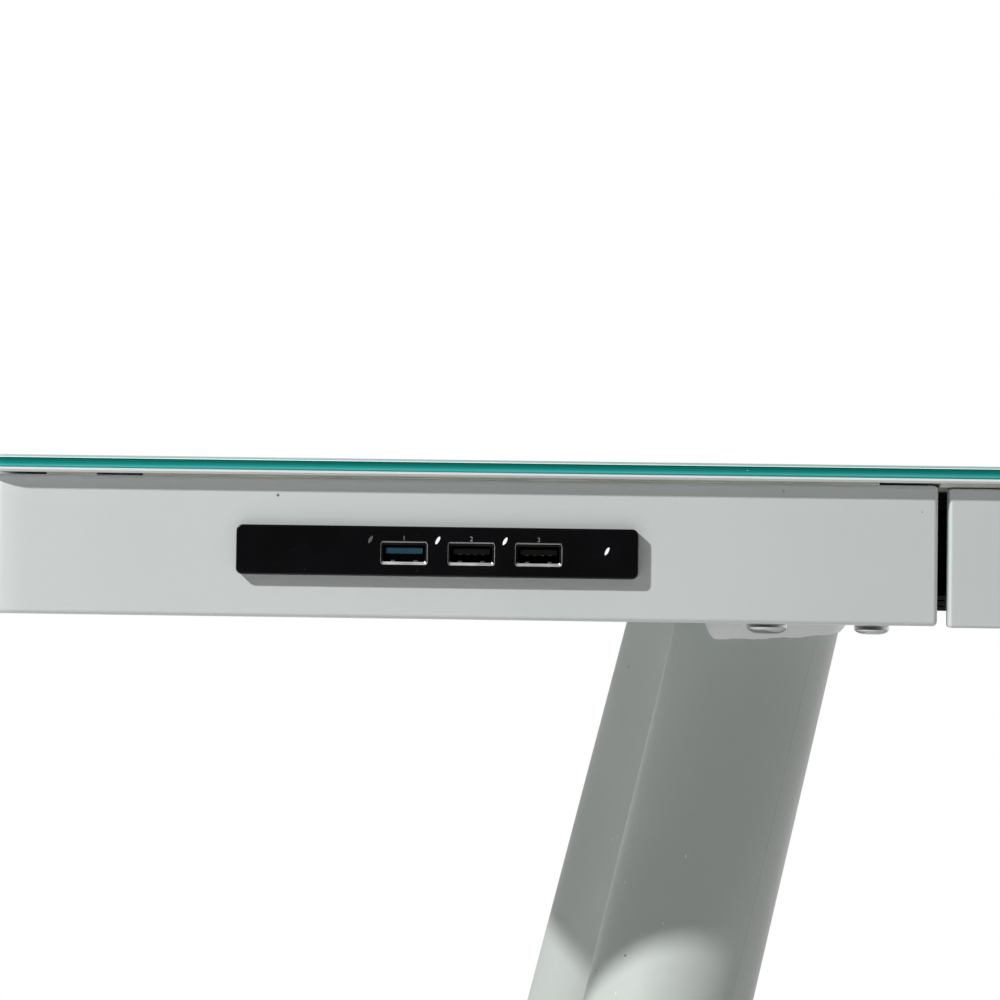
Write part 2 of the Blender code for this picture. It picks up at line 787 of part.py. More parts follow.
def add_leg(name, side, end):
    """One leg: a leaning tube under a welded plate, its bolts and the foot in its lower end."""
    outside = LEG_DIAMETER / 2
    inside = outside - LEG_WALL
    tube_z = (FOOT_HEIGHT + CLEARANCE, PLATE_BOTTOM + WELD_OVERLAP)
    leg = leaning(f"leg_{name}", side, end, tube_z, (outside, outside), "white_steel")
    plate = block(
        f"leg_{name}_plate",
        spread(side * LEG_X, LEG_PLATE_WIDTH / 2),
        spread(end * LEG_Y, LEG_PLATE_LENGTH / 2),
        (PLATE_BOTTOM, PLATE_TOP),
        None,
    )
    join(leg, plate)
    bead_z = (PLATE_BOTTOM - LEG_BEAD_HEIGHT, tube_z[1] + WELD_OVERLAP)
    bead_radii = (outside - LEG_WALL / 2, outside + LEG_BEAD_WIDTH)
    join(leg, leaning(f"leg_{name}_bead", side, end, bead_z, bead_radii, None, BEAD_TURN))
    bore_z = (FOOT_HEIGHT - CUT_OVER, PLATE_BOTTOM + WELD_OVERLAP / 2)
    cut(leg, leaning(f"leg_{name}_bore", side, end, bore_z, (inside, inside), None))
    for bolt_name, bolt_y in leg_bolt_places(end):
        place = (side * LEG_BOLT_X, bolt_y, PLATE_BOTTOM - CLEARANCE)
        hole = LEG_BOLT_SHANK + 2 * CLEARANCE
        reach = 2 * (LEG_PLATE_THICKNESS + CUT_OVER)
        round_hole(leg, f"leg_{name}_{bolt_name}_hole", hole, place, reach)
        fastener(
            f"leg_bolt_{name}_{bolt_name}",
            LEG_BOLT_HEAD,
            LEG_BOLT_HEAD_HEIGHT,
            LEG_BOLT_SHANK,
            LEG_BOLT_LENGTH,
            place,
        )
    flange = outside + FOOT_FLANGE
    plug = inside - CLEARANCE
    plug_z = (FOOT_HEIGHT - WELD_OVERLAP, FOOT_HEIGHT + FOOT_PLUG_LENGTH)
    foot = leaning(f"foot_{name}", side, end, (0.0, FOOT_HEIGHT), (flange, flange), "black_rubber")
    join(foot, leaning(f"foot_{name}_plug", side, end, plug_z, (plug, plug), None))


def add_legs():
    """The four legs and the screws that hold the aprons to the leg rails."""
    for end_name, end in ENDS:
        for side_name, side in SIDES:
            add_leg(f"{end_name}_{side_name}", side, end)
            fastener(
                f"apron_screw_{end_name}_{side_name}",
                APRON_SCREW_HEAD,
                APRON_SCREW_HEAD_HEIGHT,
                APRON_SCREW_SHANK,
                APRON_SCREW_LENGTH,
                (side * SCREW_X, -end * SCREW_Y, APRON_BOTTOM - CLEARANCE),
            )


def port_places():
    """The number and the X of each port."""
    return [(i + 1, FIRST_PORT_X + i * PORT_PITCH) for i in range(PORT_COUNT)]


def lamp_places():
    """The X and Z of each lit mark: one by each port, then the power lamp."""
    lamps = [(x - LAMP_LEFT_OF_PORT, LAMP_Z) for _, x in port_places()]
    return lamps + [(POWER_LAMP_X, POWER_LAMP_Z)]


def add_hub_bezel():
    """The hub's front: a plate with a collar, screw bosses, port openings and lamp holes."""

    def front_edge(a, b):
        return a.y < 0 or b.y < 0

    bezel = block(
        "hub_bezel",
        (HUB_LEFT, HUB_RIGHT),
        (HUB_FACE, HUB_BACK),
        spread(HUB_Z, HUB_HALF_HEIGHT),
        "black_plastic",
        rounds=[(front_edge, HUB_EDGE, HUB_EDGE_STEPS)],
    )
    collar_x = (HUB_LEFT + HUB_COLLAR_INSET, HUB_RIGHT - HUB_COLLAR_INSET)
    collar_half = HUB_HALF_HEIGHT - HUB_COLLAR_LIP
    collar_back = COVER_FRONT - CLEARANCE
    collar = block(
        "hub_collar",
        collar_x,
        (HUB_BACK - CLEARANCE, collar_back),
        spread(HUB_Z, collar_half),
        None,
    )
    join(bezel, collar)
    hollow = block(
        "hub_collar_hollow",
        (collar_x[0] + HUB_COLLAR_WALL, collar_x[1] - HUB_COLLAR_WALL),
        (BOSS_FRONT, collar_back + CUT_OVER),
        spread(HUB_Z, collar_half - HUB_COLLAR_WALL),
        None,
    )
    cut(bezel, hollow)
    half_boss = (BOSS_BACK - BOSS_FRONT + WELD_OVERLAP) / 2
    radius = HUB_BOSS_DIAMETER / 2
    for x in (LEFT_BOSS_X, RIGHT_BOSS_X):
        boss = turned(
            f"hub_boss_{x:.0f}",
            [(0, -half_boss), (radius, -half_boss), (radius, half_boss), (0, half_boss)],
            (x, BOSS_BACK - half_boss, PORT_Z),
            None,
            turn=ALONG_Y,
        )
        join(bezel, boss)
        hole = HUB_SCREW_SHANK + 2 * CLEARANCE
        reach = 2 * (HUB_SCREW_BITE + CLEARANCE)
        round_hole(bezel, f"hub_boss_hole_{x:.0f}", hole, (x, BOSS_BACK, PORT_Z), reach, ALONG_Y)
    through = (HUB_FACE - CUT_OVER, BOSS_FRONT + CUT_OVER)
    for number, x in port_places():
        opening = block(
            f"port_opening_{number}",
            spread(x, PORT_LIP_WIDTH / 2 + CLEARANCE),
            through,
            spread(PORT_Z, PORT_LIP_HEIGHT / 2 + CLEARANCE),
            None,
        )
        cut(bezel, opening)
    for x, z in lamp_places():
        hole = LAMP_DIAMETER + 2 * LAMP_PLAY
        reach = 2 * (HUB_FRONT_WALL + CUT_OVER)
        round_hole(bezel, f"lamp_hole_{x:.0f}", hole, (x, HUB_FACE, z), reach, ALONG_Y)


def add_hub_ports():
    """A metal shell and a contact tongue for each port."""
    half_width = PORT_SHELL_WIDTH / 2
    half_height = PORT_SHELL_HEIGHT / 2
    inner_width = half_width - PORT_SHELL_WALL
    inner_height = half_height - PORT_SHELL_WALL
    for number, x in port_places():
        shell = block(
            f"usb_shell_{number}",
            spread(x, PORT_LIP_WIDTH / 2),
            (PORT_FACE, PORT_FACE + PORT_LIP_THICKNESS),
            spread(PORT_Z, PORT_LIP_HEIGHT / 2),
            "bright_steel",
        )
        sleeve = block(
            f"usb_sleeve_{number}",
            spread(x, half_width),
            (PORT_FACE + PORT_LIP_THICKNESS / 2, PORT_BACK),
            spread(PORT_Z, half_height),
            None,
        )
        join(shell, sleeve)
        mouth = block(
            f"usb_mouth_{number}",
            spread(x, inner_width),
            (PORT_FACE - CUT_OVER, PORT_BACK + CUT_OVER),
            spread(PORT_Z, inner_height),
            None,
        )
        cut(shell, mouth)
        tongue = block(
            f"usb_tongue_{number}",
            spread(x, inner_width - CLEARANCE),
            (PORT_BACK - PORT_BLOCK_DEPTH, PORT_BACK),
            spread(PORT_Z, inner_height - CLEARANCE),
            "blue_plastic" if number == 1 else "black_plastic",
        )
        tongue_top = PORT_Z + inner_height - PORT_TONGUE_FROM_TOP
        bar = block(
            f"usb_bar_{number}",
            spread(x, PORT_TONGUE_WIDTH / 2),
            (PORT_FACE + PORT_TONGUE_FROM_MOUTH, PORT_BACK - PORT_BLOCK_DEPTH + WELD_OVERLAP),
            (tongue_top - PORT_TONGUE_HEIGHT, tongue_top),
            None,
        )
        join(tongue, bar)


def add_light_guide():
    """One clear comb that carries light to the marks on the hub's face."""
    lamps = lamp_places()
    half = LAMP_BAR / 2
    front = BOSS_FRONT + CLEARANCE
    back = front + LAMP_BAR
    guide = block(
        "hub_light_guide",
        (lamps[0][0] - half, POWER_LAMP_X + half),
        (front, back),
        spread(LAMP_Z, half),
        "lamp_plastic",
    )
    drop = block(
        "hub_light_drop",
        spread(POWER_LAMP_X, half - LAMP_PLAY),
        (front + LAMP_PLAY, back - LAMP_PLAY),
        (POWER_LAMP_Z - half, LAMP_Z),
        None,
    )
    join(guide, drop)
    radius = LAMP_DIAMETER / 2
    length = front + LAMP_BAR / 2 - PORT_FACE
    for x, z in lamps:
        pin = turned(
            f"lamp_pin_{x:.0f}",
            [(0, 0), (radius, 0), (radius, length), (0, length)],
            (x, front + LAMP_BAR / 2, z),
            None,
            turn=ALONG_Y,
        )
        join(guide, pin)


def add_hub_back():
    """The hub's rear cover, its board, the screws that clamp it and the cable's gland."""
    cover_x = (HUB_LEFT + HUB_COVER_MARGIN, HUB_RIGHT - HUB_COVER_MARGIN)
    inside_x = (cover_x[0] + HUB_COVER_WALL, cover_x[1] - HUB_COVER_WALL)
    cover = block(
        "hub_rear_cover",
        cover_x,
        (COVER_FRONT, COVER_BACK),
        (COVER_BOTTOM, COVER_TOP),
        "black_plastic",
    )
    hollow = block(
        "hub_cover_hollow",
        inside_x,
        (COVER_FRONT - CUT_OVER, COVER_INSIDE_BACK),
        (COVER_BOTTOM + HUB_COVER_WALL, COVER_TOP - HUB_COVER_WALL),
        None,
    )
    cut(cover, hollow)
    board_back = COVER_INSIDE_BACK - CLEARANCE
    block(
        "hub_board",
        (inside_x[0] + CLEARANCE, inside_x[1] - CLEARANCE),
        (board_back - HUB_BOARD_DEPTH, board_back),
        (BOARD_BOTTOM, BOARD_TOP),
        "green_board",
    )
    through = 2 * (HUB_COVER_WALL + CUT_OVER)
    head_y = COVER_BACK + CLEARANCE
    for name, x in (("left", LEFT_BOSS_X), ("right", RIGHT_BOSS_X)):
        hole = HUB_SCREW_SHANK + 2 * CLEARANCE
        place = (x, COVER_BACK, PORT_Z)
        round_hole(cover, f"hub_cover_hole_{name}", hole, place, through, ALONG_Y)
        fastener(
            f"hub_screw_{name}",
            HUB_SCREW_HEAD,
            HUB_SCREW_HEAD_HEIGHT,
            HUB_SCREW_SHANK,
            head_y - BOSS_BACK + HUB_SCREW_BITE,
            (x, head_y, PORT_Z),
            turn=ALONG_Y,
        )
    neck = GLAND_DIAMETER / 2
    flange = neck + GLAND_FLANGE
    wall = HUB_COVER_WALL + 2 * CLEARANCE
    gland_x = FIRST_PORT_X - GLAND_LEFT_OF_FIRST_PORT
    gland_z = HUB_Z + GLAND_ABOVE_MIDDLE
    turned(
        "hub_cable_gland",
        [
            (0, -GLAND_BOOT_LENGTH),
            (neck, -GLAND_BOOT_LENGTH),
            (flange, 0),
            (neck, 0),
            (neck, wall),
            (flange, wall),
            (flange, wall + GLAND_FLANGE_THICKNESS),
            (0, wall + GLAND_FLANGE_THICKNESS),
        ],
        (gland_x, head_y, gland_z),
        "black_rubber",
        turn=ALONG_Y,
    )
    place = (gland_x, COVER_BACK, gland_z)
    hole = GLAND_DIAMETER + 2 * CLEARANCE
    round_hole(cover, "hub_gland_hole", hole, place, through, ALONG_Y)


def main():
    """Build every part."""
    drawer_axis = new_axis("drawer_slide_axis", (0.0, FRONT_FACE, TRAY_MIDDLE))
    middle_axis = new_axis("runner_extension_axis", (0.0, RUNNER_FRONT, RUNNER_MIDDLE))
    add_glass()
    add_pads()
    add_fascias()
    add_rear_apron()
    add_side_aprons()
    add_leg_rails()
    add_top_rail()
    add_struts()
    add_runners(drawer_axis, middle_axis)
    add_drawer(drawer_axis)
    add_legs()
    add_hub_bezel()
    add_hub_ports()
    add_light_guide()
    add_hub_back()


clear_scene()
parts = new_collection("drafting_table")
cutters = new_collection("cutters", hidden=True)
finishes = {name: new_finish(name) for name in FINISHES}
main()
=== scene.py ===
"""Dress the drafting table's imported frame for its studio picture."""

import logging
import math
from dataclasses import dataclass, field
from enum import Enum, IntEnum
from typing import Callable, Sequence, Union

import bmesh
import bpy
from mathutils import Matrix, Vector

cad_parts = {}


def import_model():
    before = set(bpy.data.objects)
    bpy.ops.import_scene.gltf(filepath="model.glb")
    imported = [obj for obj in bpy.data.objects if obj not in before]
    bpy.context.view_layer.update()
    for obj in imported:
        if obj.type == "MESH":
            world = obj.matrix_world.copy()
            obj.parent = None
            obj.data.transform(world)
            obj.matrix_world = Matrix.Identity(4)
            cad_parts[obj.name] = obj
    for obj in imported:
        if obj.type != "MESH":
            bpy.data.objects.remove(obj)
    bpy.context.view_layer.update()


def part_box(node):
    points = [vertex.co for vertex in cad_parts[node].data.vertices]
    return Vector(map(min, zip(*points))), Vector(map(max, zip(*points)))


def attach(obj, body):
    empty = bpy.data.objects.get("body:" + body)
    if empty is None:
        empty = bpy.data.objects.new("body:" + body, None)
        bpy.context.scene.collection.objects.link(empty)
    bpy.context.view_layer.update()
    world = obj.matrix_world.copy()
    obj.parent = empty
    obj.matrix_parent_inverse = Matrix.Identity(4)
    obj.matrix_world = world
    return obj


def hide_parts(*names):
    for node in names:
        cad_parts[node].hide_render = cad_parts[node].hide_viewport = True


LOG = logging.getLogger("drafting_table")

MM = 0.001
TOUCH = 0.2 * MM
NEAR = 0.01 * MM
SAME = NEAR * 0.1
SHARP = math.radians(35)
PORTS = (1, 2, 3)
PADS = (1, 2, 3)

Colour = tuple[float, float, float]
Span = tuple[float, float]
Wave = tuple[float, float, float]
Loop = list[Vector]
EdgeRule = Callable[[Vector, Vector], bool]
Socket = bpy.types.NodeSocket

EVEN: Colour = (1.0, 1.0, 1.0)
NOISE: Span = (0.3, 0.7)
RISING: Span = (0.0, 1.0)
FALLING: Span = (1.0, 0.0)
SPECK_STEP = 0.01
SPECK_CORE = 0.5
MIX_SHARE = 0
MIX_COLOURS = (6, 7)
MIX_COLOUR_OUT = 2
MIX_NUMBERS = (2, 3)
MIX_NUMBER_OUT = 0


class Side(Enum):
    """The table's left and right, as signs along X."""

    LEFT = -1
    RIGHT = 1

    @property
    def word(self) -> str:
        """Return the side's word in the frame's names."""
        return self.name.lower()


class End(Enum):
    """The table's front and rear, as signs along Y."""

    FRONT = -1
    REAR = 1

    @property
    def word(self) -> str:
        """Return the end's word in the frame's names."""
        return self.name.lower()


class Body(Enum):
    """The frame's moving and standing bodies."""

    TABLE = "table_frame"
    DRAWER = "drawer"
    RUNNERS = "runner_middles"


class Slot(Enum):
    """Names of the frame's material slots, passed along with each new piece."""

    WHITE_STEEL = "white_steel"
    WHITE_GLASS = "white_glass"
    CLEAR_PAD = "clear_pad"
    BLACK_STEEL = "black_steel"
    CHARCOAL_STEEL = "charcoal_steel"
    BRIGHT_STEEL = "bright_steel"
    BLACK_PLASTIC = "black_plastic"
    BLACK_RUBBER = "black_rubber"
    BLUE_PLASTIC = "blue_plastic"
    LAMP_PLASTIC = "lamp_plastic"


class Toward(Enum):
    """Directions that a face or a screw head looks to."""

    FRONT = (0.0, -1.0, 0.0)
    REAR = (0.0, 1.0, 0.0)
    LEFT = (-1.0, 0.0, 0.0)
    RIGHT = (1.0, 0.0, 0.0)
    DOWN = (0.0, 0.0, -1.0)
    UP = (0.0, 0.0, 1.0)

    @property
    def way(self) -> Vector:
        """Return the direction as a vector of length one."""
        return Vector(self.value)


class GlassBand(IntEnum):
    """The glass sheet's finishes, in the order of their numbers."""

    FACE = 0
    ARRIS = 1
    EDGE = 2
    PAINT = 3
    BEVEL = 4
    RIM = 5


class ShellBand(IntEnum):
    """A port shell's finishes, in the order of their numbers."""

    # The plating is dark, partly as a painted reflection of a dark room.
    STEEL = 0
    # The inside is painted shade, and the rim, the sill and the springs take a painted highlight.
    INSIDE = 1
    SILL = 2


def fill_ramp(ramp: bpy.types.ColorRamp, stops: Sequence[tuple[float, Colour]]) -> None:
    """Give a colour ramp its stops.

    Args:
        ramp: The ramp.
        stops: Places and colours, at least two.
    """
    while len(ramp.elements) < len(stops):
        ramp.elements.new(1.0)
    for element, (place, colour) in zip(ramp.elements, stops):
        element.position = place
        element.color = (*colour, 1.0)


class Recipe:
    """A node material in the making."""

    def __init__(self, name: str) -> None:
        """Start a material whose patterns follow the object's own place.

        Args:
            name: The material's name.
        """
        self.material = bpy.data.materials.new(name)
        self.material.use_nodes = True
        self.nodes = self.material.node_tree.nodes
        self.links = self.material.node_tree.links
        self.shader = self.nodes["Principled BSDF"]
        self.place = self.nodes.new("ShaderNodeTexCoord").outputs["Object"]

    def fixed(self, **values: Union[float, Colour]) -> None:
        """Set shader sockets that are the same all over the surface.

        Args:
            values: Socket names in small letters, with their values.
        """
        for word, value in values.items():
            socket = self.shader.inputs[word.replace("_", " ").title().replace("Ior", "IOR")]
            socket.default_value = (*value, 1.0) if isinstance(value, tuple) else value

    def drawn(self, scale: Colour) -> Socket:
        """Stretch the object's own place before a pattern reads it.

        Args:
            scale: How much the pattern is packed along X, Y and Z.

        Returns:
            The stretched place.
        """
        node = self.nodes.new("ShaderNodeMapping")
        node.inputs["Scale"].default_value = scale
        self.links.new(self.place, node.inputs["Vector"])
        return node.outputs["Vector"]

    def noise(self, scale: float, detail: float = 2.0, drawn: Colour = EVEN) -> Socket:
        """Make a soft noise.

        Args:
            scale: Waves in a metre.
            detail: How many finer layers it has.
            drawn: How much it is packed along X, Y and Z.

        Returns:
            The noise, about 0.3 to 0.7.
        """
        node = self.nodes.new("ShaderNodeTexNoise")
        node.inputs["Scale"].default_value = scale
        node.inputs["Detail"].default_value = detail
        self.links.new(self.drawn(drawn), node.inputs["Vector"])
        return node.outputs["Fac"]

    def clouded(self, given: Span, scale: float, detail: float = 2.0, drawn: Colour = EVEN) -> Socket:
        """Return a soft noise that is mapped on a span of numbers."""
        return self.spread(self.noise(scale, detail, drawn), NOISE, given)

    def height(self) -> Socket:
        """Read the height above the floor.

        Returns:
            The height in metres.
        """
        node = self.nodes.new("ShaderNodeSeparateXYZ")
        self.links.new(self.place, node.inputs["Vector"])
        return node.outputs["Z"]

    def spread(self, source: Socket, taken: Span, given: Span) -> Socket:
        """Map one span of numbers on another.

        Args:
            source: What is mapped.
            taken: The span that is read.
            given: The span that comes out.

        Returns:
            The mapped number.
        """
        node = self.nodes.new("ShaderNodeMapRange")
        self.links.new(source, node.inputs["Value"])
        for word, value in zip(("From Min", "From Max", "To Min", "To Max"), (*taken, *given)):
            node.inputs[word].default_value = value
        return node.outputs["Result"]

    def ramp(self, source: Socket, *stops: tuple[float, Colour]) -> Socket:
        """Turn a number into a colour.

        Args:
            source: The number, 0 to 1.
            stops: Places and colours, at least two.

        Returns:
            The colour.
        """
        node = self.nodes.new("ShaderNodeValToRGB")
        fill_ramp(node.color_ramp, stops)
        self.links.new(source, node.inputs["Fac"])
        return node.outputs["Color"]

    def specks(self, scale: float, size: float, share: float, drawn: Colour = EVEN) -> Socket:
        """Scatter a few small dots.

        Args:
            scale: Cells in a metre, each with room for one dot.
            size: The dot's size as a share of its cell.
            share: The share of cells that have a dot.
            drawn: How much the dots are packed along X, Y and Z.

        Returns:
            One on a dot and zero beside it.
        """
        node = self.nodes.new("ShaderNodeTexVoronoi")
        node.inputs["Scale"].default_value = scale
        self.links.new(self.drawn(drawn), node.inputs["Vector"])
        parts = self.nodes.new("ShaderNodeSeparateColor")
        self.links.new(node.outputs["Color"], parts.inputs["Color"])
        chosen = self.spread(parts.outputs["Red"], (share, share + SPECK_STEP), FALLING)
        dot = self.spread(node.outputs["Distance"], (size * SPECK_CORE, size), FALLING)
        return self.joined("MULTIPLY", chosen, dot)

    def joined(self, way: str, one: Socket, other: Socket) -> Socket:
        """Join two numbers.

        Args:
            way: The name of the sum.
            one: The first number.
            other: The second number.

        Returns:
            What they make.
        """
        node = self.nodes.new("ShaderNodeMath")
        node.operation = way
        self.links.new(one, node.inputs[0])
        self.links.new(other, node.inputs[1])
        return node.outputs["Value"]

    def over(self, share: Socket, under: Socket, colour: Colour) -> Socket:
        """Lay a colour over another.

        Args:
            share: Where the upper colour lies, 0 to 1.
            under: The lower colour.
            colour: The upper colour.

        Returns:
            The colour with the other laid over it.
        """
        lower, upper = MIX_COLOURS
        node = self.nodes.new("ShaderNodeMix")
        node.data_type = "RGBA"
        self.links.new(share, node.inputs[MIX_SHARE])
        self.links.new(under, node.inputs[lower])
        node.inputs[upper].default_value = (*colour, 1.0)
        return node.outputs[MIX_COLOUR_OUT]

    def colour(self, source: Socket) -> None:
        """Give the shader its colour."""
        self.links.new(source, self.shader.inputs["Base Color"])

    def roughness(self, source: Socket) -> None:
        """Give the shader its roughness."""
        self.links.new(source, self.shader.inputs["Roughness"])

    def bump(self, *layers: tuple[Socket, float]) -> None:
        """Give the shader fine relief.

        Args:
            layers: Heights, each with its depth in metres.
        """
        normal = None
        for source, depth in layers:
            node = self.nodes.new("ShaderNodeBump")
            node.inputs["Distance"].default_value = depth
            self.links.new(source, node.inputs["Height"])
            if normal:
                self.links.new(normal, node.inputs["Normal"])
            normal = node.outputs["Normal"]
        self.links.new(normal, self.shader.inputs["Normal"])


@dataclass(frozen=True)
class PowderCoat:
    """Sprayed and baked paint: orange peel, faint clouds, a few dust specks and pale upright streaks in
    patches.
    """

    name: str
    deep: Colour
    pale: Colour
    speck: Colour
    gloss: Span = (0.30, 0.42)
    peel: float = 0.05 * MM
    peel_scale: float = 420.0
    coat: float = 0.2
    coat_gloss: float = 0.15
    rubbed: float = 0.0
    rub: Colour = (0.92, 0.93, 0.92)
    rub_patches: Span = (0.56, 0.62)

    def build(self) -> bpy.types.Material:
        """Make the finish.

        Returns:
            Its material.
        """
        recipe = Recipe(self.name)
        paint = recipe.ramp(recipe.noise(scale=6.0, detail=3.0), (0.35, self.deep), (0.65, self.pale))
        if self.rubbed:
            patches = recipe.spread(recipe.noise(scale=14.0), self.rub_patches, RISING)
            marks = recipe.specks(scale=260.0, size=0.09, share=self.rubbed, drawn=(1.0, 1.0, 0.35))
            paint = recipe.over(recipe.joined("MULTIPLY", patches, marks), paint, self.rub)
        dust = recipe.specks(scale=120.0, size=0.07, share=0.2)
        recipe.colour(recipe.over(dust, paint, self.speck))
        recipe.roughness(recipe.clouded(self.gloss, scale=30.0))
        recipe.bump((recipe.noise(self.peel_scale, detail=1.0), self.peel))
        recipe.fixed(coat_weight=self.coat, coat_roughness=self.coat_gloss)
        return recipe.material


@dataclass(frozen=True)
class SheetGlass:
    """A broad face of the glass: clear gloss over paint, with wiping marks, and an even painted glow where
    one is set.
    """

    name: str
    deep: Colour
    pale: Colour
    gloss: Span
    carried: float = 0.0
    speck: Colour = (0.45, 0.46, 0.45)
    wiped: Span = (0.35, 0.7)
    ripple: float = 0.02 * MM
    bending: float = 1.52

    def build(self) -> bpy.types.Material:
        """Make the finish, with its even painted glow.

        Returns:
            Its material.
        """
        recipe = Recipe(self.name)
        paint = recipe.ramp(recipe.noise(scale=3.0), (0.35, self.deep), (0.65, self.pale))
        dust = recipe.specks(scale=30.0, size=0.010, share=0.12)
        recipe.colour(recipe.over(dust, paint, self.speck))
        wiping = recipe.noise(scale=9.0, detail=4.0, drawn=(1.0, 3.0, 1.0))
        recipe.roughness(recipe.spread(wiping, self.wiped, self.gloss))
        recipe.bump((recipe.noise(scale=4.0, detail=1.0), self.ripple))
        recipe.fixed(ior=self.bending, emission_color=self.pale, emission_strength=self.carried)
        return recipe.material


@dataclass(frozen=True)
class GlassEdge:
    """The glass's polished edge: dark teal at the top, paler towards the painted face."""

    name: str
    span: Span
    stops: tuple[tuple[float, Colour], ...]
    chip: Colour = (0.45, 0.75, 0.72)
    gloss: Span = (0.10, 0.22)
    streaks: Span = (-0.07, 0.07)
    groove: float = 0.01 * MM
    bending: float = 1.52
    shine: float = 0.2

    def build(self) -> bpy.types.Material:
        """Make the finish.

        Returns:
            Its material.
        """
        recipe = Recipe(self.name)
        streak = recipe.clouded(self.streaks, scale=5.0, detail=4.0, drawn=(1.0, 1.0, 150.0))
        rise = recipe.spread(recipe.height(), self.span, RISING)
        teal = recipe.ramp(recipe.joined("ADD", rise, streak), *self.stops)
        chips = recipe.specks(scale=260.0, size=0.05, share=0.12)
        recipe.colour(recipe.over(chips, teal, self.chip))
        recipe.roughness(recipe.clouded(self.gloss, scale=60.0, detail=3.0))
        recipe.bump((recipe.noise(scale=14.0, detail=3.0, drawn=(1.0, 1.0, 90.0)), self.groove))
        recipe.fixed(ior=self.bending, specular_ior_level=self.shine)
        return recipe.material


@dataclass(frozen=True)
class Plastic:
    """Moulded plastic with handling marks and fine dust."""

    name: str
    deep: Colour
    pale: Colour
    gloss: Span
    grain: float
    grain_scale: float = 900.0
    dust: Colour = (0.20, 0.20, 0.21)
    glow: float = 0.0
    shine: float = 0.5

    def build(self) -> bpy.types.Material:
        """Make the finish.

        Returns:
            Its material.
        """
        recipe = Recipe(self.name)
        body = recipe.ramp(recipe.noise(scale=55.0, detail=3.0), (0.3, self.deep), (0.7, self.pale))
        dust = recipe.specks(scale=900.0, size=0.10, share=0.05)
        recipe.colour(recipe.over(dust, body, self.dust))
        recipe.roughness(recipe.clouded(self.gloss, scale=90.0, detail=3.0))
        recipe.bump((recipe.noise(self.grain_scale), self.grain))
        recipe.fixed(
            emission_color=self.pale, emission_strength=self.glow, specular_ior_level=self.shine
        )
        return recipe.material


@dataclass(frozen=True)
class Metal:
    """Plated or bare metal, brushed along one way."""

    name: str
    deep: Colour
    pale: Colour
    gloss: Span
    drawn: Colour = EVEN
    brush_scale: float = 600.0
    brush: float = 0.01 * MM

    def build(self) -> bpy.types.Material:
        """Make the finish.

        Returns:
            Its material.
        """
        recipe = Recipe(self.name)
        clouds = recipe.noise(scale=120.0, detail=4.0, drawn=self.drawn)
        recipe.colour(recipe.ramp(clouds, (0.3, self.deep), (0.7, self.pale)))
        recipe.roughness(recipe.clouded(self.gloss, scale=200.0, detail=3.0, drawn=self.drawn))
        recipe.bump((recipe.noise(self.brush_scale, drawn=self.drawn), self.brush))
        recipe.fixed(metallic=1.0)
        return recipe.material


@dataclass(frozen=True)
class Rubber:
    """Matt rubber with a fine skin and pale scuffs."""

    name: str
    deep: Colour
    pale: Colour
    see_through: float = 0.0
    gloss: Span = (0.55, 0.8)
    skin: float = 0.04 * MM
    dents: float = 0.05 * MM
    bending: float = 1.45

    def build(self) -> bpy.types.Material:
        """Make the finish.

        Returns:
            Its material.
        """
        recipe = Recipe(self.name)
        scuffs = recipe.noise(scale=70.0, detail=5.0)
        recipe.colour(recipe.ramp(scuffs, (0.35, self.deep), (0.75, self.pale)))
        recipe.roughness(recipe.clouded(self.gloss, scale=130.0))
        recipe.bump((recipe.noise(scale=1100.0), self.skin), (recipe.noise(scale=90.0), self.dents))
        recipe.fixed(transmission_weight=self.see_through, ior=self.bending)
        return recipe.material


@dataclass(frozen=True)
class Floor:
    """A pale seamless studio floor that fades into the white room at its rim."""

    name: str
    deep: Colour
    pale: Colour
    fade: Span
    gloss: Span = (0.6, 0.75)
    grain: float = 0.05 * MM

    def build(self) -> bpy.types.Material:
        """Make the finish.

        Returns:
            Its material.
        """
        recipe = Recipe(self.name)
        clouds = recipe.noise(scale=2.0, detail=4.0)
        recipe.colour(recipe.ramp(clouds, (0.3, self.deep), (0.7, self.pale)))
        recipe.roughness(recipe.clouded(self.gloss, scale=20.0))
        recipe.bump((recipe.noise(scale=300.0), self.grain))
        away = recipe.nodes.new("ShaderNodeVectorMath")
        away.operation = "LENGTH"
        recipe.links.new(recipe.place, away.inputs[0])
        solid = recipe.spread(away.outputs["Value"], self.fade, FALLING)
        recipe.links.new(solid, recipe.shader.inputs["Alpha"])
        return recipe.material


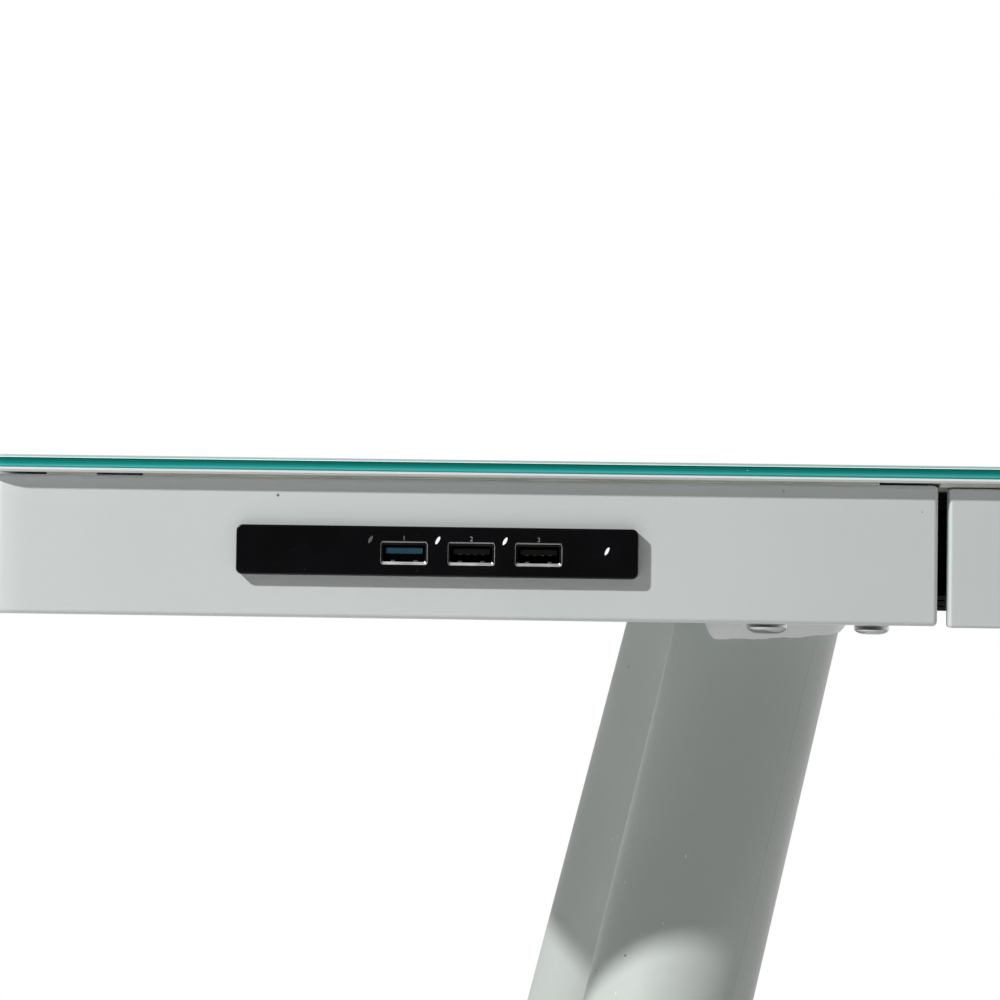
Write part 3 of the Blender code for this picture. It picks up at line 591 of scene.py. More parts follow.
class Finish(Enum):
    """Every finish on the table and its floor."""

    WHITE_COAT = PowderCoat(
        "white_powder_coat",
        (0.66, 0.70, 0.69),
        (0.72, 0.75, 0.74),
        (0.16, 0.16, 0.15),
    )
    LEG_COAT = PowderCoat(
        "leg_powder_coat",
        (0.575, 0.615, 0.58),
        (0.635, 0.67, 0.64),
        (0.20, 0.20, 0.18),
        (0.40, 0.50),
        peel=0.03 * MM,
        rubbed=0.6,
    )
    # The weld is whiter than the leg: partly a paler filler and partly painted light from the floor on its
    # lower face.
    WELD_COAT = PowderCoat(
        "weld_powder_coat",
        (0.80, 0.82, 0.82),
        (0.87, 0.88, 0.88),
        (0.40, 0.39, 0.37),
        (0.35, 0.55),
        peel=0.10 * MM,
        peel_scale=700.0,
    )
    CHARCOAL_COAT = PowderCoat(
        "charcoal_tray_coat",
        (0.020, 0.021, 0.023),
        (0.032, 0.033, 0.036),
        (0.10, 0.10, 0.10),
        (0.50, 0.62),
        peel=0.12 * MM,
        peel_scale=900.0,
        coat=0.0,
    )
    # The runners are black: partly black zinc and partly painted shade that keeps the drawer gap dark.
    BLACK_COAT = PowderCoat(
        "black_runner_coat",
        (0.006, 0.006, 0.007),
        (0.011, 0.011, 0.012),
        (0.05, 0.05, 0.05),
        (0.38, 0.55),
        peel=0.02 * MM,
        peel_scale=600.0,
        coat=0.0,
    )
    GLASS_FACE = SheetGlass("white_glass_face", (0.80, 0.84, 0.83), (0.84, 0.87, 0.86), (0.03, 0.09))
    GLASS_PAINT = SheetGlass("glass_back_paint", (0.70, 0.72, 0.71), (0.76, 0.78, 0.77), (0.35, 0.55))
    # The arris bands glow evenly: painted highlight on the glass's edge lines, not a lamp.
    GLASS_ARRIS = SheetGlass(
        "bright_glass_arris",
        (0.76, 0.84, 0.83),
        (0.90, 0.95, 0.94),
        (0.25, 0.45),
        carried=0.3,
    )
    GLASS_RIM = SheetGlass("ground_glass_rim", (0.34, 0.47, 0.46), (0.42, 0.55, 0.54), (0.35, 0.55))
    # The low arris chamfer is split: this grey lower half is painted shade under the glowing upper half.
    GLASS_BEVEL = SheetGlass("grey_glass_bevel", (0.74, 0.76, 0.75), (0.84, 0.86, 0.85), (0.35, 0.55))
    GLASS_EDGE = GlassEdge(
        "teal_glass_edge",
        (756.2 * MM, 759.15 * MM),
        (
            (0.04, (0.035, 0.260, 0.255)),
            (0.20, (0.078, 0.510, 0.475)),
            (0.43, (0.014, 0.295, 0.268)),
            (0.63, (0.008, 0.210, 0.180)),
            (0.97, (0.001, 0.112, 0.087)),
        ),
    )
    HUB_GLOSS = Plastic(
        "hub_gloss_plastic",
        (0.0015, 0.0015, 0.002),
        (0.003, 0.003, 0.004),
        (0.16, 0.24),
        grain=0.004 * MM,
        shine=0.4,
    )
    HUB_BACK = Plastic(
        "hub_back_plastic",
        (0.010, 0.010, 0.011),
        (0.018, 0.018, 0.019),
        (0.45, 0.6),
        grain=0.03 * MM,
    )
    BLUE_TONGUE = Plastic(
        "blue_tongue_plastic",
        (0.009, 0.055, 0.095),
        (0.013, 0.075, 0.125),
        (0.35, 0.5),
        grain=0.01 * MM,
        grain_scale=1500.0,
        dust=(0.04, 0.11, 0.15),
    )
    BLACK_TONGUE = Plastic(
        "black_tongue_plastic",
        (0.002, 0.002, 0.002),
        (0.004, 0.004, 0.004),
        (0.5, 0.65),
        grain=0.01 * MM,
        shine=0.15,
    )
    BOARD = Plastic(
        "green_board_mask",
        (0.01, 0.09, 0.04),
        (0.02, 0.14, 0.06),
        (0.25, 0.4),
        grain=0.02 * MM,
        grain_scale=1200.0,
    )
    # The lamps glow white, the first one dim; their brightness and leaning leaf shape copy glints on the hub,
    # so they are lamps and painted glints at once.
    LAMP = Plastic(
        "lamp_plastic",
        (0.70, 0.72, 0.72),
        (0.90, 0.92, 0.92),
        (0.15, 0.25),
        grain=0.005 * MM,
        grain_scale=2000.0,
        dust=(0.8, 0.8, 0.8),
        glow=0.5,
    )
    DIM_LAMP = Plastic(
        "dim_lamp_plastic",
        (0.10, 0.10, 0.10),
        (0.20, 0.20, 0.20),
        (0.15, 0.25),
        grain=0.005 * MM,
    )
    MARK_INK = Plastic(
        "port_mark_ink",
        (0.22, 0.22, 0.22),
        (0.42, 0.42, 0.42),
        (0.4, 0.6),
        grain=0.01 * MM,
        grain_scale=3000.0,
    )
    BOLT_STEEL = Metal("bright_bolt_steel", (0.50, 0.51, 0.52), (0.68, 0.69, 0.70), (0.07, 0.14))
    # The shell's steels are one plating in lit and shaded copies: a dark face that is partly painted
    # reflection, a painted highlight on the rim and the sill, and painted shade inside.
    SHELL_STEEL = Metal(
        "dark_plated_shell",
        (0.030, 0.030, 0.033),
        (0.070, 0.070, 0.073),
        (0.22, 0.34),
        drawn=(1.0, 0.2, 1.0),
        brush_scale=1500.0,
    )
    SHELL_SILL = Metal(
        "bare_shell_sill",
        (0.80, 0.80, 0.80),
        (0.94, 0.94, 0.93),
        (0.38, 0.48),
        drawn=(1.0, 0.2, 1.0),
        brush_scale=1500.0,
    )
    SHELL_INSIDE = Metal(
        "dark_shell_inside",
        (0.010, 0.009, 0.009),
        (0.022, 0.020, 0.019),
        (0.4, 0.55),
        drawn=(1.0, 0.2, 1.0),
        brush_scale=1500.0,
    )
    GOLD = Metal(
        "contact_gold",
        (0.75, 0.50, 0.20),
        (0.90, 0.66, 0.30),
        (0.15, 0.30),
        drawn=(1.0, 0.3, 1.0),
        brush_scale=2000.0,
    )
    FOOT_RUBBER = Rubber("foot_rubber", (0.012, 0.012, 0.012), (0.035, 0.034, 0.033))
    PAD_RUBBER = Rubber("clear_pad_rubber", (0.62, 0.64, 0.63), (0.75, 0.77, 0.76), see_through=0.35)
    SEAL_RUBBER = Rubber("seal_rubber", (0.66, 0.66, 0.56), (0.78, 0.77, 0.66))
    STUDIO_FLOOR = Floor("studio_floor", (0.80, 0.80, 0.80), (0.84, 0.84, 0.84), (2.2, 3.5))


class Palette:
    """The finishes that have been made, each once."""

    def __init__(self) -> None:
        """Start with no finish made."""
        self.made: dict[Finish, bpy.types.Material] = {}

    def get(self, finish: Finish) -> bpy.types.Material:
        """Return a finish's material, and make it on its first use.

        Args:
            finish: The finish asked for.

        Returns:
            Its material.
        """
        if finish not in self.made:
            self.made[finish] = finish.value.build()
        return self.made[finish]


@dataclass(frozen=True)
class Rounding:
    """Edges of a block that are rounded together."""

    edges: EdgeRule
    radius: float
    steps: int


@dataclass(frozen=True)
class Station:
    """One step of a turned profile: how far out and how far along its axis."""

    out: float
    along: float
    six_sided: bool = False


def upright(a: Vector, b: Vector) -> bool:
    """Return whether an edge stands upright."""
    return abs(a.x - b.x) < NEAR and abs(a.y - b.y) < NEAR


def level(a: Vector, b: Vector) -> bool:
    """Return whether an edge lies level."""
    return abs(a.z - b.z) < NEAR


def front_level(a: Vector, b: Vector) -> bool:
    """Return whether an edge lies level on a block's front."""
    return a.y < 0 and b.y < 0 and level(a, b)


def any_edge(a: Vector, b: Vector) -> bool:
    """Take every edge of a block."""
    return True


def middle_of(node: str) -> Vector:
    """Return the middle of a node's box."""
    low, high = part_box(node)
    return (low + high) / 2


def front_of(node: str) -> Vector:
    """Return the middle of the front of a node's box."""
    low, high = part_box(node)
    return Vector(((low.x + high.x) / 2, low.y, (low.z + high.z) / 2))


def rippled(waves: Sequence[Wave], place: float, base: float = 0.0) -> float:
    """Add waves to a number.

    Args:
        waves: Each wave's size, how fast it runs and where it starts.
        place: The place along the waves.
        base: The number that they are added to.

    Returns:
        The sum.
    """
    for size, pace, start in waves:
        base += size * math.sin(pace * place + start)
    return base


def rounded_rectangle(half_width: float, half_height: float, radius: float, steps: int) -> list[Span]:
    """Go round a rectangle with round corners.

    Args:
        half_width: Half its first size.
        half_height: Half its second size.
        radius: The corner radius.
        steps: Steps in each corner.

    Returns:
        Its points, anticlockwise.
    """
    points = []
    for turn, (across, up) in enumerate(((1, 1), (-1, 1), (-1, -1), (1, -1))):
        for step in range(steps + 1):
            angle = math.radians(90 * (turn + step / steps))
            points.append(
                (
                    across * (half_width - radius) + radius * math.cos(angle),
                    up * (half_height - radius) + radius * math.sin(angle),
                )
            )
    return points


def level_loop(centre: Sequence[float], outline: Sequence[Span], height: float) -> Loop:
    """Return an outline that lies level round a middle at a height."""
    return [Vector((centre[0] + x, centre[1] + y, height)) for x, y in outline]


def standing_loop(centre: Vector, outline: Sequence[Span], depth: float) -> Loop:
    """Return an outline that stands facing the front, at a depth behind its middle."""
    return [centre + Vector((across, depth, up)) for across, up in outline]


class Shape:
    """A mesh in the making, in metres and in the table's own frame."""

    def __init__(self) -> None:
        """Start with no faces."""
        self.mesh = bmesh.new()

    def absorb(self, *others: "Shape") -> "Shape":
        """Take over the faces of other shapes.

        Args:
            others: The shapes, used up by this.

        Returns:
            This shape.
        """
        for other in others:
            carrier = bpy.data.meshes.new("carrier")
            other.mesh.to_mesh(carrier)
            other.mesh.free()
            self.mesh.from_mesh(carrier)
            bpy.data.meshes.remove(carrier)
        return self

    def finish_number(self, number: int) -> "Shape":
        """Give all faces one finish.

        Args:
            number: The finish's place among the piece's finishes.

        Returns:
            This shape.
        """
        for face in self.mesh.faces:
            face.material_index = number
        return self

    def loft(
        self,
        loops: Sequence[Loop],
        ring: bool = False,
        bands: Sequence[int] = (),
        ends: tuple[int, int] = (0, 0),
    ) -> "Shape":
        """Stretch a skin over loops that have as many points each.

        Args:
            loops: The loops in order.
            ring: Whether the last loop joins the first; otherwise both get an end face.
            bands: The finish number of each band.
            ends: The finish numbers of the first and the last end face.

        Returns:
            This shape.
        """
        rows = [[self.mesh.verts.new(point) for point in loop] for loop in loops]
        pairs = list(zip(rows, rows[1:]))
        if ring:
            pairs.append((rows[-1], rows[0]))
        for number, (one, other) in enumerate(pairs):
            for here in range(len(one)):
                there = (here + 1) % len(one)
                face = self.mesh.faces.new((one[here], one[there], other[there], other[here]))
                face.material_index = bands[number] if bands else 0
        if not ring:
            self.mesh.faces.new(rows[0]).material_index = ends[0]
            self.mesh.faces.new(rows[-1]).material_index = ends[1]
        return self

    def block(self, low: Vector, high: Vector, rounds: Sequence[Rounding] = ()) -> "Shape":
        """Make a block with chosen edges rounded.

        Args:
            low: Its lowest corner.
            high: Its highest corner.
            rounds: The roundings in order, whose rules see places from the block's middle.

        Returns:
            This shape.
        """
        bmesh.ops.create_cube(self.mesh, size=1.0)
        bmesh.ops.scale(self.mesh, vec=high - low, verts=self.mesh.verts)
        for rounding in rounds:
            edges = [e for e in self.mesh.edges if rounding.edges(e.verts[0].co, e.verts[1].co)]
            bmesh.ops.bevel(
                self.mesh,
                geom=edges,
                offset=rounding.radius,
                segments=rounding.steps,
                profile=0.5,
                affect="EDGES",
            )
        bmesh.ops.translate(self.mesh, vec=(low + high) / 2, verts=self.mesh.verts)
        return self

    def opened(self, gone: Callable[[Vector], bool]) -> "Shape":
        """Take away the faces that lie wholly on one side.

        Args:
            gone: Whether a place lies there.

        Returns:
            This shape.
        """
        faces = [face for face in self.mesh.faces if all(gone(vert.co) for vert in face.verts)]
        bmesh.ops.delete(self.mesh, geom=faces, context="FACES")
        return self

    def turned(self, stations: Sequence[Station], base: Vector, axis: Vector, steps: int = 48) -> "Shape":
        """Turn a profile round an axis.

        Args:
            stations: The profile from one end to the other.
            base: The point on the axis that the stations count from.
            axis: The axis.
            steps: Steps in a turn, a multiple of six.

        Returns:
            This shape.
        """
        across = axis.orthogonal().normalized()
        beside = axis.cross(across)
        loops = []
        for station in stations:
            loop = []
            for step in range(steps):
                angle = math.tau * step / steps
                flat = math.cos((angle + math.pi / 6) % (math.pi / 3) - math.pi / 6)
                out = station.out / flat if station.six_sided else station.out
                ray = across * math.cos(angle) + beside * math.sin(angle)
                loop.append(base + ray * out + axis * station.along)
            loops.append(loop)
        return self.loft(loops)

    def rod(self, middle: Vector, axis: Vector, diameter: float, reach: float) -> "Shape":
        """Make a round cutter that goes as far each way from its middle."""
        return self.turned([Station(diameter / 2, end) for end in (-reach, reach)], middle, axis)


@dataclass(frozen=True)
class ScrewKind:
    """A button-headed screw with a six-sided socket, whose finer sizes are shares of the main ones."""

    head: float
    head_height: float
    shank: float
    lead: float = 0.12
    seat: float = 0.98
    seat_height: float = 0.05
    rim: float = 0.42
    dome_steps: int = 8
    socket: float = 0.50
    socket_mouth: float = 1.2
    socket_steps: tuple[Span, ...] = ((1.02, 0.97), (1.0, 0.90), (1.0, 0.35), (0.3, 0.28))

    def profile(self, length: float) -> list[Station]:
        """Go along the screw from its tip to the bottom of its socket.

        Args:
            length: The screw's whole length.

        Returns:
            The profile, counted from the head's underside.
        """
        tip = self.head_height - length
        radius = self.head / 2
        socket = radius * self.socket
        lead = self.shank * self.lead
        stations = [
            Station(self.shank / 2 - lead, tip),
            Station(self.shank / 2, tip + lead),
            Station(self.shank / 2, 0.0),
            Station(radius * self.seat, 0.0),
            Station(radius, self.head_height * self.seat_height),
            Station(radius, self.head_height * self.rim),
        ]
        crown = math.acos(socket * self.socket_mouth / radius)
        for step in range(1, self.dome_steps + 1):
            angle = crown * step / self.dome_steps
            rise = self.rim + (1 - self.rim) * (math.sin(angle) / math.sin(crown))
            stations.append(Station(radius * math.cos(angle), self.head_height * rise))
        for out, height in self.socket_steps:
            stations.append(Station(socket * out, self.head_height * height, six_sided=True))
        return stations


@dataclass
class SubAssembly:
    """A group of pieces that is built and dressed together."""

    palette: Palette
    made: dict[str, bpy.types.Object] = field(default_factory=dict, init=False)

    def build(self) -> None:
        """Build the pieces."""
        raise NotImplementedError

    def dress(self) -> None:
        """Give the pieces their finishes."""
        raise NotImplementedError

    def add(
        self,
        name: str,
        shape: Shape,
        body: Body,
        slot: Slot,
        replaces: Sequence[str],
        wall: float = 0.0,
        cutters: Sequence[Shape] = (),
        extras: Sequence[Shape] = (),
    ) -> bpy.types.Object:
        """Make a shape into a piece that rides on a body.

        Args:
            name: The piece's name.
            shape: Its shape.
            body: The body that carries it.
            slot: The frame's material slot that it stands for; not used.
            replaces: The frame's nodes that it stands for.
            wall: The wall thickness of a sheet, or zero for a closed shape.
            cutters: Shapes that are cut out of it.
            extras: Closed shapes that are added after the cutting.

        Returns:
            The piece.
        """
        piece = self.as_object(name, shape)
        if wall:
            sheet = piece.modifiers.new("wall", "SOLIDIFY")
            sheet.thickness = wall
            sheet.offset = -1.0
            sheet.use_even_offset = True
        tools = [self.as_object(f"{name}_cutter", cutter) for cutter in cutters]
        for tool in tools:
            cut = piece.modifiers.new("cut", "BOOLEAN")
            cut.object = tool
            cut.solver = "EXACT"
        if wall or tools:
            graph = bpy.context.evaluated_depsgraph_get()
            mesh = bpy.data.meshes.new_from_object(piece.evaluated_get(graph))
            piece.modifiers.clear()
            piece.data = mesh
        for tool in tools:
            bpy.data.objects.remove(tool)
        if extras:
            whole = Shape()
            whole.mesh.from_mesh(piece.data)
            whole.absorb(*extras)
            bmesh.ops.recalc_face_normals(whole.mesh, faces=whole.mesh.faces)
            whole.mesh.to_mesh(piece.data)
            whole.mesh.free()
        piece.data.shade_smooth()
        piece.data.set_sharp_from_angle(angle=SHARP)
        even = piece.modifiers.new("even_shading", "WEIGHTED_NORMAL")
        even.keep_sharp = True
        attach(piece, body.value)
        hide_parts(*replaces)
        self.made[name] = piece
        LOG.info("%s: %d faces on %s", name, len(piece.data.polygons), body.value)
        return piece

    @staticmethod
    def as_object(name: str, shape: Shape) -> bpy.types.Object:
        """Make a plain object of a shape.

        Args:
            name: The object's name.
            shape: The shape, used up by this.

        Returns:
            The object, in the scene.
        """
        bmesh.ops.recalc_face_normals(shape.mesh, faces=shape.mesh.faces)
        mesh = bpy.data.meshes.new(name)
        shape.mesh.to_mesh(mesh)
        shape.mesh.free()
        made = bpy.data.objects.new(name, mesh)
        bpy.context.scene.collection.objects.link(made)
        return made

    def paint(self, name: str, *finishes: Finish) -> None:
        """Give a piece its finishes.

        Args:
            name: The piece's name.
            finishes: Its finishes in the order of their numbers.
        """
        for finish in finishes:
            self.made[name].data.materials.append(self.palette.get(finish))

    def paint_screws(self) -> None:
        """Plate every screw of this sub-assembly."""
        for name in self.made:
            if name.endswith("_socket_head"):
                self.paint(name, Finish.BOLT_STEEL)

    def paint_nodes(self, finish: Finish, *nodes: str) -> None:
        """Give nodes of the frame a finish.

        Args:
            finish: The finish.
            nodes: The nodes' names.
        """
        for node in nodes:
            for material_slot in bpy.data.objects[node].material_slots:
                material_slot.material = self.palette.get(finish)
            LOG.info("%s: frame node in %s", node, finish.value.name)

    def screw(self, node: str, way: Toward, kind: ScrewKind, body: Body) -> None:
        """Make a screw.

        Args:
            node: The frame's node that it stands for.
            way: Where its head looks.
            kind: Its sizes.
            body: The body that carries it.
        """
        axis = way.way
        low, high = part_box(node)
        reach = abs((high - low).dot(axis)) / 2
        base = (low + high) / 2 + axis * (reach - kind.head_height)
        shape = Shape().turned(kind.profile(2 * reach), base, axis)
        self.add(f"{node}_socket_head", shape, body, Slot.BRIGHT_STEEL, [node])


@dataclass
class GlassTop(SubAssembly):
    """The glass sheet, the clear pads under it and the soft seals on the panels' tops."""

    corner: float = 10.0 * MM
    top_arris: float = 0.65 * MM
    low_arris: float = 1.2 * MM
    bevel: float = 0.6 * MM
    # The thin band under the top arris glows as a painted highlight line.
    bright_line: float = 0.2 * MM
    corner_steps: int = 20
    seal_depth: float = 3.0 * MM
    seal_front: float = 0.7 * MM
    seal_runs: tuple[Span, ...] = ((337.0 * MM, 557.0 * MM), (571.0 * MM, 586.0 * MM))
    seal_waviness: float = 0.12 * MM
    seal_waves: tuple[Wave, ...] = ((1.0, 140.0, 1.0), (0.6, 370.0, 0.0))
    seal_step: float = 4.0 * MM
    seal_profile: tuple[Span, ...] = (
        (0.0, 0.35),
        (0.12, 0.85),
        (0.35, 1.0),
        (0.9, 1.0),
        (1.0, 0.5),
        (0.9, 0.0),
        (0.30, 0.0),
        (0.08, 0.05),
    )
    trim_front: float = 1.2 * MM
    trim_height: float = 1.1 * MM
    trim_end_gap: float = 0.6 * MM
    trim_edge: float = 0.3 * MM
    trim_edge_steps: int = 4

    def sheet(self) -> Shape:
        """Make the sheet with its ground rim, its glowing lines of painted highlight and the grey bevel
        below.

        Returns:
            The sheet.
        """
        low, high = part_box("glass_top")
        half = (high - low) / 2
        steps = (
            (self.low_arris, low.z),
            (self.bevel, low.z + self.low_arris - self.bevel),
            (0.0, low.z + self.low_arris),
            (0.0, high.z - self.top_arris - self.bright_line),
            (0.0, high.z - self.top_arris),
            (self.top_arris, high.z),
        )
        loops = []
        for inset, height in steps:
            corner = self.corner - inset
            outline = rounded_rectangle(half.x - inset, half.y - inset, corner, self.corner_steps)
            loops.append(level_loop((low + high) / 2, outline, height))
        bands = (GlassBand.BEVEL, GlassBand.ARRIS, GlassBand.EDGE, GlassBand.ARRIS, GlassBand.RIM)
        return Shape().loft(loops, bands=bands, ends=(GlassBand.PAINT, GlassBand.FACE))

    def seal(self, side: Side, end: End, run: Span) -> Shape:
        """Make a soft seal that is squeezed between a panel's top and the glass.

        Args:
            side: The table's side that it lies on.
            end: The table's end that it lies on.
            run: Where it begins and ends, from the table's middle.

        Returns:
            The seal.
        """
        panel = f"{side.word}_fascia" if end is End.FRONT else "rear_apron"
        low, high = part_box(panel)
        face = low.y if end is End.FRONT else high.y
        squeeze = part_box("glass_top")[0].z - high.z
        steps = round((run[1] - run[0]) / self.seal_step)
        loops = []
        for step in range(steps + 1):
            across = run[0] + (run[1] - run[0]) * step / steps
            wave = rippled(self.seal_waves, across)
            loop = []
            for back, up in self.seal_profile:
                inward = self.seal_front + self.seal_depth * back + self.seal_waviness * wave * (1 - back)
                height = high.z - TOUCH + (squeeze + 2 * TOUCH) * up
                loop.append(Vector((side.value * across, face - end.value * inward, height)))
            loops.append(loop)
        return Shape().loft(loops)

    def trim(self) -> Shape:
        """Make the soft strip on the front of the top rail, over the drawer.

        Returns:
            The strip.
        """
        rail_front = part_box("front_top_rail")[0].y
        low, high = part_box("left_fascia")
        half = -high.x - self.trim_end_gap
        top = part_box("glass_top")[0].z
        return Shape().block(
            Vector((-half, low.y + self.trim_front, top - self.trim_height)),
            Vector((half, rail_front + TOUCH, top + TOUCH / 2)),
            [Rounding(front_level, self.trim_edge, self.trim_edge_steps)],
        )

    def build(self) -> None:
        """Build the sheet, its seals and the strip over the drawer."""
        self.add("glass_sheet", self.sheet(), Body.TABLE, Slot.WHITE_GLASS, ["glass_top"])
        for side in Side:
            for end in End:
                runs = [self.seal(side, end, run) for run in self.seal_runs]
                name = f"glass_seal_{end.word}_{side.word}"
                self.add(name, runs[0].absorb(*runs[1:]), Body.TABLE, Slot.CLEAR_PAD, [])
        self.add("glass_seal_over_drawer", self.trim(), Body.TABLE, Slot.CLEAR_PAD, [])

    def dress(self) -> None:
        """Finish the glass, its seals and its pads."""
        for name in self.made:
            if name.startswith("glass_seal"):
                self.paint(name, Finish.SEAL_RUBBER)
        self.paint("glass_sheet", *(Finish[f"GLASS_{band.name}"] for band in GlassBand))
        for side in Side:
            self.paint_nodes(Finish.PAD_RUBBER, *(f"glass_pad_{side.word}_{pad}" for pad in PADS))


@dataclass
class Apron(SubAssembly):
    """The folded steel panels round the table."""

    wall: float = 1.2 * MM
    fold: float = 1.5 * MM
    fold_steps: int = 6
    corner: float = 3.0 * MM
    corner_steps: int = 10
    bow_length: float = 10.0 * MM
    bow_radius: float = 48.0 * MM
    bow_steps: int = 7
    screw_hole: float = 5.6 * MM
    drill_reach: float = 10.0 * MM
    slot_inset: float = 4.2 * MM
    slot_half_height: float = 6.25 * MM
    slot_reach: Span = (-1.0 * MM, 10.0 * MM)

    def pan(self, node: str, out: Toward, big_corner: Callable[[Vector], bool]) -> Shape:
        """Fold a shallow pan that is open at its back.

        Args:
            node: The frame's node that it stands for.
            out: Where its face looks.
            big_corner: Which upright corners of its face are large, from a place on the edge.

        Returns:
            The pan's outer skin.
        """
        low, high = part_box(node)
        way = out.way
        half_depth = abs((high - low).dot(way)) / 2
        middle = (low + high) / 2

        def corner_edge(a: Vector, b: Vector) -> bool:
            """Return whether an edge is a large corner of the face."""
            return upright(a, b) and a.dot(way) > 0 and big_corner(a)

        def fold_edge(a: Vector, b: Vector) -> bool:
            """Tell the folds from the other edges.

            Args:
                a: One end of an edge, from the panel's middle.
                b: The edge's other end.

            Returns:
                Whether the edge is a fold.
            """
            if upright(a, b):
                return a.dot(way) > half_depth - NEAR and not big_corner(a)
            return level(a, b) and max(a.dot(way), b.dot(way)) > NEAR - half_depth

        rounds = [
            Rounding(corner_edge, self.corner, self.corner_steps),
            Rounding(fold_edge, self.fold, self.fold_steps),
        ]
        shape = Shape().block(low, high, rounds)
        return shape.opened(lambda place: (place - middle).dot(way) < NEAR - half_depth)

    def bowed(self, skin: Shape, node: str, side: Side) -> Shape:
        """Let a front panel bow back a little before its outer corner.

        Args:
            skin: The panel's outer skin.
            node: The frame's node that it stands for.
            side: The table's side that it lies on.

        Returns:
            The skin.
        """
        low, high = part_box(node)
        sign = side.value
        start = (high.x if side is Side.RIGHT else low.x) - sign * self.bow_length
        for step in range(self.bow_steps):
            cut = start + sign * (self.bow_length - self.corner) * step / self.bow_steps
            bmesh.ops.bisect_plane(
                skin.mesh,
                geom=[*skin.mesh.verts, *skin.mesh.edges, *skin.mesh.faces],
                plane_co=Vector((cut, 0.0, 0.0)),
                plane_no=Toward.RIGHT.way,
            )
        for vert in skin.mesh.verts:
            beyond = max(0.0, sign * (vert.co.x - start))
            forward = (high.y - vert.co.y) / (high.y - low.y)
            vert.co.y += forward * beyond**2 / (2 * self.bow_radius)
        return skin

    def drill(self, screw: str) -> Shape:
        """Return the cutter for an apron screw's hole."""
        return Shape().rod(middle_of(screw), Toward.UP.way, self.screw_hole, self.drill_reach)

    def hub_slot(self) -> Shape:
        """Make the cutter for the hub's slot.

        Returns:
            The cutter.
        """
        low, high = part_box("hub_bezel")
        middle = (low.z + high.z) / 2
        front, back = self.slot_reach
        return Shape().block(
            Vector((low.x + self.slot_inset, low.y + front, middle - self.slot_half_height)),
            Vector((high.x - self.slot_inset, low.y + back, middle + self.slot_half_height)),
        )

    def build(self) -> None:
        """Build the two front panels, the rear panel and the two end panels."""
        for side in Side:
            sign = side.value
            cutters = [self.drill(f"apron_screw_front_{side.word}")]
            if side is Side.LEFT:
                cutters.append(self.hub_slot())
            node = f"{side.word}_fascia"
            skin = self.pan(node, Toward.FRONT, lambda place, sign=sign: place.x * sign > 0)
            skin = self.bowed(skin, node, side)
            self.add(f"{node}_panel", skin, Body.TABLE, Slot.WHITE_STEEL, [node], self.wall, cutters)
            node = f"{side.word}_side_apron"
            skin = self.pan(node, Toward[side.name], lambda place: False)
            self.add(f"{node}_panel", skin, Body.TABLE, Slot.WHITE_STEEL, [node], self.wall)
        skin = self.pan("rear_apron", Toward.REAR, lambda place: True)
        cutters = [self.drill(f"apron_screw_rear_{side.word}") for side in Side]
        self.add("rear_apron_panel", skin, Body.TABLE, Slot.WHITE_STEEL, ["rear_apron"], self.wall, cutters)

    def dress(self) -> None:
        """Paint the panels."""
        for name in self.made:
            self.paint(name, Finish.WHITE_COAT)


@dataclass
class InnerFrame(SubAssembly):
    """The rails and struts under the glass."""

    def build(self) -> None:
        """Keep the frame's own rails and struts."""

    def dress(self) -> None:
        """Paint the rails and struts."""
        for side in Side:
            self.paint_nodes(Finish.LEG_COAT, f"{side.word}_leg_rail", f"{side.word}_side_strut")
        self.paint_nodes(Finish.LEG_COAT, "front_top_rail")


